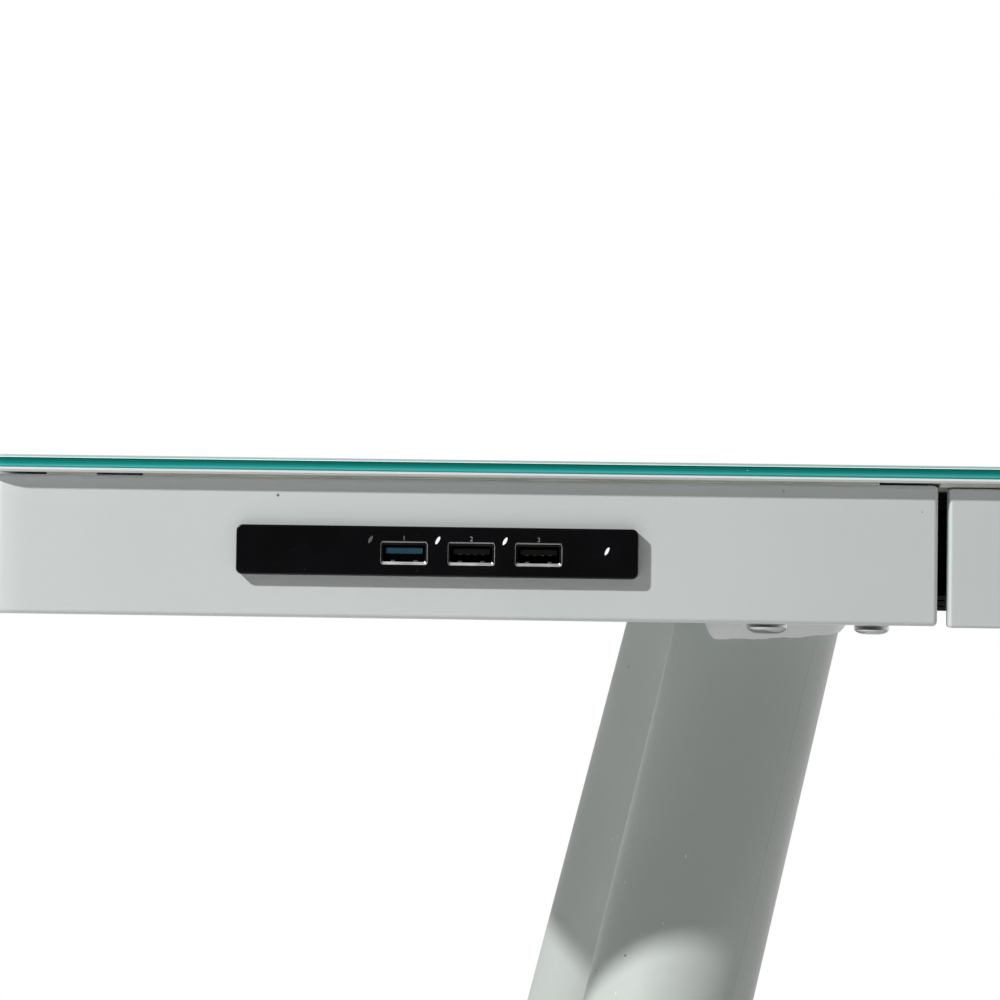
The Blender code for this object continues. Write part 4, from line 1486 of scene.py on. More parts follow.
@dataclass
class DrawerUnit(SubAssembly):
    """The drawer's front, its tray and their screws."""

    edge: float = 1.0 * MM
    edge_steps: int = 6
    back_edge: float = 0.4 * MM
    back_edge_steps: int = 3
    tray_wall: float = 1.2 * MM
    tray_fold: float = 2.4 * MM
    tray_fold_steps: int = 6
    hem_height: float = 8.0 * MM
    hem_wall: float = 1.3 * MM
    hem_soft: float = 0.4 * MM
    hem_crest: float = 0.1 * MM
    hem_drop: float = 0.6 * MM
    hem_lip: float = 0.5 * MM
    hem_corner: float = 0.3 * MM
    screw_hole: float = 3.6 * MM
    drill_reach: float = 6.0 * MM
    screw_kind: ScrewKind = ScrewKind(head=6.0 * MM, head_height=2.2 * MM, shank=3.0 * MM)

    def front(self) -> Shape:
        """Make the drawer front with its soft front edges.

        Returns:
            The drawer front.
        """

        def front_edge(a: Vector, b: Vector) -> bool:
            """Return whether an edge touches the front face."""
            return a.y < 0 or b.y < 0

        def rear_edge(a: Vector, b: Vector) -> bool:
            """Return whether an edge bounds the back face."""
            return a.y > half_depth - NEAR and b.y > half_depth - NEAR

        low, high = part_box("drawer_front")
        half_depth = (high.y - low.y) / 2
        rounds = [
            Rounding(front_edge, self.edge, self.edge_steps),
            Rounding(rear_edge, self.back_edge, self.back_edge_steps),
        ]
        return Shape().block(low, high, rounds)

    def tray(self) -> Shape:
        """Make the tray's outer skin, open at the top.

        Returns:
            The skin.
        """

        def fold_edge(a: Vector, b: Vector) -> bool:
            """Return whether an edge is a folded corner."""
            return upright(a, b) or (a.z < 0 and b.z < 0)

        low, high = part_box("drawer_tray")
        shape = Shape().block(low, high, [Rounding(fold_edge, self.tray_fold, self.tray_fold_steps)])
        return shape.opened(lambda place: place.z > high.z - NEAR)

    def hem(self) -> Shape:
        """Make the folded hem round the tray's rim.

        Returns:
            The hem.
        """
        low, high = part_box("drawer_tray")
        half = (high - low) / 2
        outer = self.tray_wall - TOUCH
        inner = self.tray_wall + self.hem_wall
        profile = (
            (outer, high.z - self.hem_height),
            (outer, high.z - self.hem_crest),
            (outer + self.hem_soft, high.z),
            (inner - self.hem_soft, high.z - self.hem_crest),
            (inner, high.z - self.hem_drop),
            (inner, high.z - self.hem_height + self.hem_lip),
            (inner - self.hem_soft, high.z - self.hem_height),
        )
        loops = []
        for inset, height in profile:
            corner = max(self.tray_fold - inset, self.hem_corner)
            outline = rounded_rectangle(half.x - inset, half.y - inset, corner, self.tray_fold_steps)
            loops.append(level_loop((low + high) / 2, outline, height))
        return Shape().loft(loops, ring=True)

    def drill(self, screw: str) -> Shape:
        """Return the cutter for a drawer screw's hole in the tray."""
        return Shape().rod(middle_of(screw), Toward.REAR.way, self.screw_hole, self.drill_reach)

    def build(self) -> None:
        """Build the front, the tray and the screws."""
        self.add("drawer_front_panel", self.front(), Body.DRAWER, Slot.WHITE_STEEL, ["drawer_front"])
        screws = [f"drawer_screw_{side.word}" for side in Side]
        self.add(
            "drawer_tray_pan",
            self.tray(),
            Body.DRAWER,
            Slot.CHARCOAL_STEEL,
            ["drawer_tray"],
            self.tray_wall,
            [self.drill(screw) for screw in screws],
            [self.hem()],
        )
        for screw in screws:
            self.screw(screw, Toward.REAR, self.screw_kind, Body.DRAWER)

    def dress(self) -> None:
        """Paint the drawer."""
        self.paint_screws()
        self.paint("drawer_front_panel", Finish.WHITE_COAT)
        self.paint("drawer_tray_pan", Finish.CHARCOAL_COAT)


@dataclass
class RunnerSet(SubAssembly):
    """The drawer's two runners, each of three rolled channels."""

    steel: float = 1.2 * MM
    bend: float = 1.8 * MM
    bend_steps: int = 5
    screw_hole: float = 4.6 * MM
    drill_reach: float = 15.0 * MM
    hole_share: tuple[float, ...] = (0.08, 0.5, 0.92)
    members: tuple[tuple[str, Body, bool], ...] = (
        ("cabinet", Body.TABLE, True),
        ("middle", Body.RUNNERS, True),
        ("drawer", Body.DRAWER, False),
    )

    def channel(self, node: str, web_out: bool) -> Shape:
        """Roll one channel.

        Args:
            node: The frame's node that it stands for.
            web_out: Whether its web is on the side away from the drawer.

        Returns:
            The channel.
        """
        low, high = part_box(node)
        away = 1 if low.x > 0 else -1
        web_way = away if web_out else -away
        web = high.x if web_way > 0 else low.x
        lips = low.x if web_way > 0 else high.x
        inner_web = web - web_way * self.steel
        inner_heights = (low.z + self.steel, high.z - self.steel)
        outer = self.path(web, lips, web_way, (low.z, high.z), self.bend)
        inner = self.path(inner_web, lips, web_way, inner_heights, self.bend - self.steel)
        section = outer + inner[::-1]
        return Shape().loft([[Vector((x, depth, z)) for x, z in section] for depth in (low.y, high.y)])

    def path(self, web: float, lips: float, web_way: int, heights: Span, bend: float) -> list[Span]:
        """Follow one face of the channel from lip to lip.

        Args:
            web: Where the web is.
            lips: Where the two lips end.
            web_way: Which way the web lies from the lips.
            heights: The heights of the two flanges.
            bend: The bend's radius.

        Returns:
            The points, across and up.
        """
        points = [(lips, heights[0])]
        for flange, up in zip(heights, (1, -1)):
            arc = []
            for step in range(self.bend_steps + 1):
                angle = math.radians(90 * step / self.bend_steps)
                across = web - web_way * bend * (1 - math.sin(angle))
                arc.append((across, flange + up * bend * (1 - math.cos(angle))))
            points += arc if up > 0 else arc[::-1]
        points.append((lips, heights[1]))
        return points

    def drills(self, node: str) -> list[Shape]:
        """Make the cutters for the screw holes along a channel's web.

        Args:
            node: The channel's node.

        Returns:
            The cutters.
        """
        low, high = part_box(node)
        middle = (low + high) / 2
        cutters = []
        for share in self.hole_share:
            place = Vector((middle.x, low.y + (high.y - low.y) * share, middle.z))
            cutters.append(Shape().rod(place, Toward.RIGHT.way, self.screw_hole, self.drill_reach))
        return cutters

    def build(self) -> None:
        """Build both runners' three channels."""
        for side in Side:
            for word, body, web_out in self.members:
                node = f"{side.word}_runner_{word}"
                shape = self.channel(node, web_out)
                self.add(f"{node}_channel", shape, body, Slot.BLACK_STEEL, [node], cutters=self.drills(node))

    def dress(self) -> None:
        """Coat the channels."""
        for name in self.made:
            self.paint(name, Finish.BLACK_COAT)


@dataclass
class Leg(SubAssembly):
    """A leaning leg with its plate, weld, foot and bolts, and the apron screw beside it."""

    side: Side
    end: End
    radius: float = 28.5 * MM
    wall: float = 2.0 * MM
    axis_x: float = 358.5 * MM
    axis_y: float = 168.0 * MM
    axis_level: float = 712.5 * MM
    reach_out: float = 172.7 * MM
    reach_end: float = 105.8 * MM
    steps: int = 120
    tube_foot: float = 10.3 * MM
    tube_edge: float = 0.4 * MM
    seam_turn: float = math.radians(42)
    seam_half: float = 0.5 * MM
    seam_rise: float = 0.1 * MM
    seam_above_foot: float = 1.0 * MM
    seam_profile: tuple[Span, ...] = (
        (-1.0, -0.5),
        (-0.6, 0.7),
        (0.0, 1.0),
        (0.6, 0.7),
        (1.0, -0.5),
        (0.0, -2.0),
    )
    plate_width: float = 72.0 * MM
    plate_length: float = 112.0 * MM
    plate_low: float = 711.0 * MM
    plate_high: float = 716.0 * MM
    plate_corner: float = 6.0 * MM
    plate_corner_steps: int = 8
    plate_edge: float = 0.6 * MM
    weld_width: float = 4.0 * MM
    weld_height: float = 7.0 * MM
    weld_root: float = 0.5 * MM
    weld_sunk: float = 0.3 * MM
    weld_profile: tuple[Span, ...] = ((0.12, 1.0), (0.42, 0.78), (0.70, 0.48), (0.92, 0.20), (1.0, 0.04))
    weld_from: float = math.radians(-46)
    weld_to: float = math.radians(215)
    weld_fade: float = math.radians(16)
    weld_mean: float = 0.84
    weld_lean: float = 0.20
    weld_lean_turn: float = 1.0
    weld_waves: tuple[Wave, ...] = ((0.026, 13.0, 2.0), (0.012, 41.0, 0.0))
    flange_proud: float = 1.0 * MM
    flange_profile: tuple[Span, ...] = (
        (2.4 * MM, 0.0),
        (0.7 * MM, 0.4 * MM),
        (0.0, 1.6 * MM),
        (0.0, 3.4 * MM),
        (0.5 * MM, 3.9 * MM),
        (0.5 * MM, 4.7 * MM),
        (0.0, 5.2 * MM),
        (0.0, 8.6 * MM),
        (0.4 * MM, 9.6 * MM),
        (1.0 * MM, 10.0 * MM),
    )
    plug_play: float = 0.3 * MM
    plug_low: float = 10.0 * MM
    plug_lead: float = 39.0 * MM
    plug_high: float = 40.0 * MM
    rib_bases: tuple[float, ...] = (14 * MM, 20 * MM, 26 * MM, 32 * MM)
    rib_profile: tuple[Span, ...] = (
        (0.0, 0.0),
        (0.6 * MM, 0.6 * MM),
        (0.6 * MM, 3 * MM),
        (0.0, 3.6 * MM),
    )
    bolt_kind: ScrewKind = ScrewKind(head=14.0 * MM, head_height=4.0 * MM, shank=8.0 * MM)
    screw_kind: ScrewKind = ScrewKind(head=10.4 * MM, head_height=2.6 * MM, shank=5.0 * MM)

    def mirrored(self, across: float, deep: float) -> Span:
        """Return a place from the table's middle on the leg's own side and end."""
        return self.side.value * across, self.end.value * deep

    def point(self, angle: float, out: float, height: float) -> Vector:
        """Place a point on the leg's level section.

        Args:
            angle: The angle from the front, towards the right.
            out: The distance from the axis, square to the leg.
            height: The section's height.

        Returns:
            The point.
        """
        run = Vector(self.mirrored(self.reach_out, self.reach_end)) / self.axis_level
        along = run.normalized()
        stretch = math.sqrt(1 + run.length_squared) - 1
        ray = Vector((math.sin(angle), -math.cos(angle))) * out
        ray += along * ray.dot(along) * stretch
        axis = Vector(self.mirrored(self.axis_x, self.axis_y)) + run * (self.axis_level - height)
        return Vector((axis.x + ray.x, axis.y + ray.y, height))

    def turns(self) -> list[float]:
        """Return the angles of the points round the leg."""
        return [math.tau * step / self.steps for step in range(self.steps)]

    def ring(self, out: float, height: float) -> Loop:
        """Return a level section of the leg."""
        return [self.point(turn, out, height) for turn in self.turns()]

    def tube(self) -> Shape:
        """Make the leg's tube.

        Returns:
            The tube.
        """
        inner = self.radius - self.wall
        top = self.plate_low + TOUCH
        profile = (
            (self.radius - self.tube_edge, self.tube_foot),
            (self.radius, self.tube_foot + self.tube_edge),
            (self.radius, top),
            (inner, top),
            (inner, self.tube_foot),
        )
        return Shape().loft([self.ring(*step) for step in profile], ring=True)

    def seam(self) -> Shape:
        """Make the low ridge along the tube where its sheet was rolled shut.

        Returns:
            The ridge.
        """
        turn = self.seam_turn if self.end is End.FRONT else math.pi - self.seam_turn
        middle = turn if self.side is Side.LEFT else -turn
        loops = []
        for height in (self.tube_foot + self.seam_above_foot, self.plate_low + TOUCH):
            loop = []
            for across, rise in self.seam_profile:
                angle = middle + across * self.seam_half / self.radius
                loop.append(self.point(angle, self.radius + self.seam_rise * rise, height))
            loops.append(loop)
        return Shape().loft(loops)

    def plate(self) -> Shape:
        """Make the plate on the leg's top.

        Returns:
            The plate.
        """
        centre = self.mirrored(self.axis_x, self.axis_y)
        profile = (
            (self.plate_edge, self.plate_low),
            (0.0, self.plate_low + self.plate_edge),
            (0.0, self.plate_high - self.plate_edge),
            (self.plate_edge, self.plate_high),
        )
        loops = []
        for inset, height in profile:
            outline = rounded_rectangle(
                self.plate_width / 2 - inset,
                self.plate_length / 2 - inset,
                self.plate_corner - inset,
                self.plate_corner_steps,
            )
            loops.append(level_loop(centre, outline, height))
        return Shape().loft(loops)

    def weld_share(self, angle: float) -> float:
        """Work out how full the weld is at an angle, with its ragged edge.

        Args:
            angle: The angle from the front, towards the right.

        Returns:
            The weld's size as a share of its full size.
        """
        own = angle if self.side is Side.LEFT else -angle
        own = own if self.end is End.FRONT else math.pi - own
        own = (own - self.weld_from + self.weld_fade) % math.tau + self.weld_from - self.weld_fade
        rise = (own - self.weld_from) / self.weld_fade
        fall = (self.weld_to - own) / self.weld_fade
        full = math.sin(max(0.0, min(1.0, rise, fall)) * math.pi / 2)
        lean = self.weld_lean * math.cos(own + self.weld_lean_turn)
        return full * (self.weld_mean + rippled(self.weld_waves, own, lean))

    def weld(self) -> Shape:
        """Make the weld between the leg's tube and its plate.

        Returns:
            The weld.
        """
        inside = self.radius - self.weld_root
        top = self.plate_low + TOUCH
        sections = []
        for turn in self.turns():
            share = self.weld_share(turn)
            width = self.weld_width * share
            drop = self.weld_height * share
            base = self.radius if share > 0 else self.radius - self.weld_sunk
            section = [(inside, top), (inside, self.plate_low - drop - TOUCH)]
            section += [(base + width * out, self.plate_low - drop * down) for out, down in self.weld_profile]
            section.append((base + width, top))
            sections.append([self.point(turn, *step) for step in section])
        return Shape().loft([list(loop) for loop in zip(*sections)], ring=True)

    def foot(self) -> Shape:
        """Make the ribbed rubber cap in the leg's lower end.

        Returns:
            The cap.
        """
        flange = self.radius + self.flange_proud
        plug = self.radius - self.wall - self.plug_play
        profile = [(flange - inset, height) for inset, height in self.flange_profile]
        profile.append((plug, self.plug_low))
        for base in self.rib_bases:
            profile += [(plug - inset, base + height) for inset, height in self.rib_profile]
        profile += [(plug, self.plug_lead), (plug - (self.plug_high - self.plug_lead), self.plug_high)]
        return Shape().loft([self.ring(*step) for step in profile])

    @property
    def place(self) -> str:
        """Return the leg's place in the frame's names."""
        return f"{self.end.word}_{self.side.word}"

    def build(self) -> None:
        """Build the leg, its foot, its bolts and the apron screw."""
        node = f"leg_{self.place}"
        extras = [self.plate(), self.weld().finish_number(1), self.seam()]
        self.add(f"{node}_tube", self.tube(), Body.TABLE, Slot.WHITE_STEEL, [node], extras=extras)
        node = f"foot_{self.place}"
        self.add(f"{node}_cap", self.foot(), Body.TABLE, Slot.BLACK_RUBBER, [node])
        for bolt in End:
            node = f"leg_bolt_{self.place}_{bolt.word}"
            self.screw(node, Toward.DOWN, self.bolt_kind, Body.TABLE)
        self.screw(f"apron_screw_{self.place}", Toward.DOWN, self.screw_kind, Body.TABLE)

    def dress(self) -> None:
        """Paint the leg and finish its foot and its screws."""
        self.paint_screws()
        self.paint(f"leg_{self.place}_tube", Finish.LEG_COAT, Finish.WELD_COAT)
        self.paint(f"foot_{self.place}_cap", Finish.FOOT_RUBBER)


@dataclass
class UsbHub(SubAssembly):
    """The black hub on the left front panel, with three ports and four small lamps."""

    height: float = 14.9 * MM
    plate_depth: float = 2.7 * MM
    corner: float = 1.9 * MM
    corner_steps: int = 8
    fillet: float = 0.5 * MM
    fillet_steps: int = 6
    cut_reach: Span = (-5.0 * MM, 8.0 * MM)
    collar_inset: float = 4.5 * MM
    collar_lip: float = 1.5 * MM
    collar_wall: float = 1.2 * MM
    collar_back: float = 4.5 * MM
    collar_corner: float = 1.5 * MM
    collar_inner_corner: float = 0.3 * MM
    collar_corner_steps: int = 4
    boss: float = 5.0 * MM
    boss_back: float = 11.4 * MM
    boss_edge: float = 0.4 * MM
    boss_steps: int = 36
    port_width: float = 14.2 * MM
    port_height: float = 7.0 * MM
    port_play: float = 0.05 * MM
    port_corner: float = 0.9 * MM
    port_corner_steps: int = 5
    shell_width: float = 13.1 * MM
    shell_height: float = 5.7 * MM
    shell_wall: float = 0.35 * MM
    shell_corner: float = 0.7 * MM
    shell_inner_corner: float = 0.35 * MM
    lip: float = 0.6 * MM
    lip_front: float = 0.12 * MM
    lip_corner: float = 0.8 * MM
    flare_depth: float = 0.4 * MM
    spring_across: float = 3.4 * MM
    spring_size: tuple[float, float, float] = (1.4 * MM, 3.2 * MM, 0.45 * MM)
    spring_behind: float = 0.9 * MM
    spring_skin: float = 0.05 * MM
    spring_steps: int = 12
    spring_outline: tuple[Span, ...] = (
        (-0.5, 0.0),
        (0.5, 0.0),
        (0.5, 0.7),
        (0.35, 1.0),
        (-0.35, 1.0),
        (-0.5, 0.7),
    )
    lamp_length: float = 2.5 * MM
    lamp_width: float = 0.75 * MM
    lamp_lean: float = math.radians(28)
    lamp_play: float = 0.12 * MM
    lamp_recess: float = 0.06 * MM
    lamp_steps: int = 10
    lamp_bar: float = 1.4 * MM
    lamp_bar_edge: float = 0.2 * MM
    lamp_bar_edge_steps: int = 3
    lamp_left: float = 10.0 * MM
    lamp_above: float = 4.0 * MM
    power_lamp_from_end: float = 9.3 * MM
    power_lamp_below: float = 2.6 * MM
    tongue_thickness: float = 1.84 * MM
    tongue_roof: float = 0.7 * MM
    tongue_side: float = 0.65 * MM
    tongue_edge: float = 0.15 * MM
    tongue_edge_steps: int = 3
    tongue_back: float = 1.0 * MM
    block_depth: float = 3.0 * MM
    contacts: int = 4
    contact_width: float = 1.0 * MM
    contact_pitch: float = 2.25 * MM
    contact_thickness: float = 0.12 * MM
    contact_front: float = 0.6 * MM
    contact_back: float = 2.0 * MM
    mark_size: float = 2.0 * MM
    mark_above: float = 4.55 * MM
    mark_thickness: float = 0.04 * MM
    mark_middle: float = 0.35

    def ports(self) -> list[Vector]:
        """Return the middles of the three ports' mouths, from left to right."""
        return [front_of(f"usb_shell_{number}") for number in PORTS]

    def lamps(self) -> list[Vector]:
        """Find the places of the four lamps on the hub's face.

        Returns:
            The places, the power lamp's last.
        """
        low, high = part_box("hub_bezel")
        row = [Vector((port.x - self.lamp_left, low.y, port.z + self.lamp_above)) for port in self.ports()]
        power = Vector((high.x - self.power_lamp_from_end, low.y, row[0].z - self.power_lamp_below))
        return row + [power]

    def plate(self) -> Shape:
        """Make the hub's front plate with its soft edge.

        Returns:
            The plate.
        """
        low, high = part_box("hub_bezel")
        half_width = (high.x - low.x) / 2
        half_height = self.height / 2
        steps = [(0.0, self.plate_depth)]
        for step in range(self.fillet_steps + 1):
            angle = math.radians(90 * step / self.fillet_steps)
            steps.append((self.fillet * (1 - math.cos(angle)), self.fillet * (1 - math.sin(angle))))
        loops = []
        for inset, depth in steps:
            corner = self.corner - inset
            outline = rounded_rectangle(half_width - inset, half_height - inset, corner, self.corner_steps)
            loops.append(standing_loop(front_of("hub_bezel"), outline, depth))
        return Shape().loft(loops)

    def cutter(self, place: Vector, outline: Sequence[Span]) -> Shape:
        """Return the cutter for a hole through the plate."""
        return Shape().loft([standing_loop(place, outline, depth) for depth in self.cut_reach])

    def mouth(self) -> list[Span]:
        """Go round a port's opening in the plate.

        Returns:
            Its points, across and up.
        """
        half_width = self.port_width / 2 + self.port_play
        half_height = self.port_height / 2 + self.port_play
        return rounded_rectangle(half_width, half_height, self.port_corner, self.port_corner_steps)

    # The leaning leaf copies the shape of a glint, so each glowing lamp is also a painted glint.
    def leaf(self, play: float) -> list[Span]:
        """Go round a lamp's slim leaning leaf.

        Args:
            play: How much wider than the lamp it is all round.

        Returns:
            Its points, across and up.
        """
        half_length = self.lamp_length / 2 + play
        half_width = self.lamp_width / 2 + play
        points = []
        for side in Side:
            for step in range(self.lamp_steps):
                share = step / self.lamp_steps
                along = side.value * half_length * math.cos(math.pi * share)
                across = side.value * half_width * math.sin(math.pi * share)
                points.append(
                    (
                        along * math.sin(self.lamp_lean) - across * math.cos(self.lamp_lean),
                        along * math.cos(self.lamp_lean) + across * math.sin(self.lamp_lean),
                    )
                )
        return points

    def light_guide(self) -> Shape:
        """Make the clear comb whose teeth end as the lamps on the hub's face.

        Returns:
            The comb, with the first tooth in its second finish.
        """
        low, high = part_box("hub_light_guide")
        soft = [Rounding(any_edge, self.lamp_bar_edge, self.lamp_bar_edge_steps)]
        front = high.y - self.lamp_bar
        guide = Shape().block(Vector((low.x, front, high.z - self.lamp_bar)), high, soft)
        drop_low = Vector((high.x - self.lamp_bar + TOUCH, front + TOUCH, low.z))
        guide.absorb(Shape().block(drop_low, high - Vector((TOUCH, TOUCH, self.lamp_bar / 2)), soft))
        outline = self.leaf(0.0)
        for number, lamp in enumerate(self.lamps()):
            back = high.y - lamp.y - self.lamp_bar / 2
            loops = [standing_loop(lamp, outline, depth) for depth in (self.lamp_recess, back)]
            guide.absorb(Shape().loft(loops).finish_number(1 if number == 0 else 0))
        return guide

    def collar(self) -> Shape:
        """Make the collar that sits in the panel's slot.

        Returns:
            The collar.
        """
        low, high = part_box("hub_bezel")
        wide = (high.x - low.x) / 2 - self.collar_inset
        tall = self.height / 2 - self.collar_lip
        wall = self.collar_wall
        steps = self.collar_corner_steps
        outer = rounded_rectangle(wide, tall, self.collar_corner, steps)
        inner = rounded_rectangle(wide - wall, tall - wall, self.collar_inner_corner, steps)
        front = self.plate_depth - TOUCH
        back = self.collar_back
        sections = ((outer, front), (outer, back), (inner, back), (inner, front))
        centre = front_of("hub_bezel")
        return Shape().loft([standing_loop(centre, *section) for section in sections], ring=True)

    def boss_post(self, screw: str) -> Shape:
        """Make a screw post on the plate's back.

        Args:
            screw: The screw's node.

        Returns:
            The post.
        """
        place = middle_of(screw)
        base = Vector((place.x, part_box("hub_bezel")[0].y, place.z))
        radius = self.boss / 2
        stations = [
            Station(radius, self.plate_depth - TOUCH),
            Station(radius, self.boss_back - self.boss_edge),
            Station(radius - self.boss_edge, self.boss_back),
        ]
        return Shape().turned(stations, base, Toward.REAR.way, self.boss_steps)

    def shell(self, number: int, port: Vector) -> Shape:
        """Make a port's plated shell with its flared lip, with a painted highlight on the rim and the sill
        and painted shade inside.

        Args:
            number: The port's number.
            port: The middle of its mouth.

        Returns:
            The shell.
        """
        low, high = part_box(f"usb_shell_{number}")
        depth = high.y - low.y
        wide, tall = self.shell_width / 2, self.shell_height / 2
        lip_wide, lip_tall = self.port_width / 2, self.port_height / 2
        wall = self.shell_wall
        front = self.lip_front
        sections = (
            (wide, tall, self.shell_corner, depth),
            (wide, tall, self.shell_corner, self.lip),
            (lip_wide, lip_tall, self.port_corner, self.lip),
            (lip_wide, lip_tall, self.port_corner, front),
            (lip_wide - front, lip_tall - front, self.lip_corner, 0.0),
            (lip_wide - 2 * front, lip_tall - 2 * front, self.shell_corner, 0.0),
            (wide - wall, tall - wall, self.shell_inner_corner, self.flare_depth),
            (wide - wall, tall - wall, self.shell_inner_corner, depth),
        )
        loops = []
        for across, up, corner, back in sections:
            outline = rounded_rectangle(across, up, corner, self.port_corner_steps)
            loops.append(standing_loop(port, outline, back))
        bands = [ShellBand.STEEL] * 3 + [ShellBand.SILL] * 2 + [ShellBand.INSIDE] * 3
        shape = Shape().loft(loops, ring=True, bands=bands)
        # The lower flare faces take the painted highlight finish.
        for face in shape.mesh.faces:
            middle = face.calc_center_median() - port
            if NEAR < middle.y < self.flare_depth and middle.z < wall - tall:
                face.material_index = ShellBand.SILL
        return shape

    def spring(self, port: Vector, side: Side) -> Shape:
        """Make a small spring that is pressed out of a shell's floor.

        Args:
            port: The middle of the port's mouth.
            side: The spring's side of the port.

        Returns:
            The spring, a low hump that is sunk into the floor at both ends.
        """
        width, length, rise = self.spring_size
        floor = port.z - self.shell_height / 2 + self.shell_wall / 2
        middle = port.x + side.value * self.spring_across
        loops = []
        for step in range(self.spring_steps + 1):
            share = step / self.spring_steps
            hump = (rise + self.shell_wall / 2) * math.sin(math.pi * share) ** 2
            top = floor + hump + self.spring_skin
            depth = port.y + self.spring_behind + length * share
            loops.append(
                [
                    Vector((middle + width * x, depth, floor + (top - floor) * up))
                    for x, up in self.spring_outline
                ]
            )
        return Shape().loft(loops)

    def tongue(self, number: int) -> Shape:
        """Make a port's tongue, its block and its contacts.

        Args:
            number: The port's number.

        Returns:
            The tongue, with the contacts as its second finish.
        """
        low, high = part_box(f"usb_tongue_{number}")
        bar_low, bar_high = self.bar_heights(number)
        soft = [Rounding(any_edge, self.tongue_edge, self.tongue_edge_steps)]
        middle = (low.x + high.x) / 2
        half = self.shell_width / 2 - self.shell_wall - self.tongue_side
        bar = Shape().block(
            Vector((middle - half, low.y, bar_low)),
            Vector((middle + half, high.y - self.tongue_back, bar_high)),
            soft,
        )
        parts = [Shape().block(Vector((low.x, high.y - self.block_depth, low.z)), high, soft)]
        reach = self.contact_width / 2
        front = low.y + self.contact_front
        back = high.y - self.contact_back
        for place in range(self.contacts):
            across = middle + (place - (self.contacts - 1) / 2) * self.contact_pitch
            contact = Shape().block(
                Vector((across - reach, front, bar_low - self.contact_thickness)),
                Vector((across + reach, back, bar_low + self.contact_thickness)),
            )
            parts.append(contact.finish_number(1))
        return bar.absorb(*parts)

    def bar_heights(self, number: int) -> Span:
        """Find a tongue's heights.

        Args:
            number: The port's number.

        Returns:
            Its lower and its upper height.
        """
        roof = front_of(f"usb_shell_{number}").z + self.shell_height / 2 - self.shell_wall
        top = roof - self.tongue_roof
        return top - self.tongue_thickness, top

    def mark(self, number: int, port: Vector) -> Shape:
        """Print a port's number.

        Args:
            number: The number.
            port: The middle of the port's mouth.

        Returns:
            The number as a thin closed print on the hub's face.
        """
        letters = bpy.data.curves.new("port_number", "FONT")
        letters.body = str(number)
        letters.size = self.mark_size
        letters.align_x = "CENTER"
        letters.extrude = self.mark_thickness
        carrier = bpy.data.objects.new("port_number", letters)
        bpy.context.scene.collection.objects.link(carrier)
        graph = bpy.context.evaluated_depsgraph_get()
        mesh = bpy.data.meshes.new_from_object(carrier.evaluated_get(graph))
        bpy.data.objects.remove(carrier)
        shape = Shape()
        shape.mesh.from_mesh(mesh)
        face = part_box("hub_bezel")[0].y
        foot = port.z + self.mark_above - self.mark_size * self.mark_middle
        turn = Matrix.Translation(Vector((port.x, face, foot))) @ Matrix.Rotation(math.radians(90), 4, "X")
        bmesh.ops.transform(shape.mesh, matrix=turn, verts=shape.mesh.verts)
        bmesh.ops.remove_doubles(shape.mesh, verts=shape.mesh.verts, dist=SAME)
        return shape

    def build(self) -> None:
        """Build the plate, the ports and their marks."""
        ports = self.ports()
        cutters = [self.cutter(port, self.mouth()) for port in ports]
        cutters += [self.cutter(lamp, self.leaf(self.lamp_play)) for lamp in self.lamps()]
        extras = [self.collar()] + [self.boss_post(f"hub_screw_{side.word}") for side in Side]
        self.add(
            "hub_front_plate",
            self.plate(),
            Body.TABLE,
            Slot.BLACK_PLASTIC,
            ["hub_bezel"],
            cutters=cutters,
            extras=extras,
        )
        self.add("hub_lamp_comb", self.light_guide(), Body.TABLE, Slot.LAMP_PLASTIC, ["hub_light_guide"])
        for number, port in zip(PORTS, ports):
            # The springs take the shell's painted highlight finish.
            springs = [self.spring(port, side).finish_number(ShellBand.SILL) for side in Side]
            shell = self.shell(number, port).absorb(*springs)
            self.add(f"port_{number}_shell", shell, Body.TABLE, Slot.BRIGHT_STEEL, [f"usb_shell_{number}"])
            slot = Slot.BLUE_PLASTIC if number == 1 else Slot.BLACK_PLASTIC
            tongue = self.tongue(number)
            self.add(f"port_{number}_tongue", tongue, Body.TABLE, slot, [f"usb_tongue_{number}"])
            self.add(f"port_{number}_mark", self.mark(number, port), Body.TABLE, Slot.LAMP_PLASTIC, [])

    def dress(self) -> None:
        """Finish the hub's pieces and the frame's own hub parts."""
        self.paint("hub_front_plate", Finish.HUB_GLOSS)
        self.paint("hub_lamp_comb", Finish.LAMP, Finish.DIM_LAMP)
        for number in PORTS:
            tongue = Finish.BLUE_TONGUE if number == 1 else Finish.BLACK_TONGUE
            self.paint(f"port_{number}_shell", *(Finish[f"SHELL_{band.name}"] for band in ShellBand))
            self.paint(f"port_{number}_tongue", tongue, Finish.GOLD)
            self.paint(f"port_{number}_mark", Finish.MARK_INK)
        self.paint_nodes(Finish.HUB_BACK, "hub_rear_cover")
        self.paint_nodes(Finish.BOARD, "hub_board")
        self.paint_nodes(Finish.FOOT_RUBBER, "hub_cable_gland")
        self.paint_nodes(Finish.BOLT_STEEL, *(f"hub_screw_{side.word}" for side in Side))


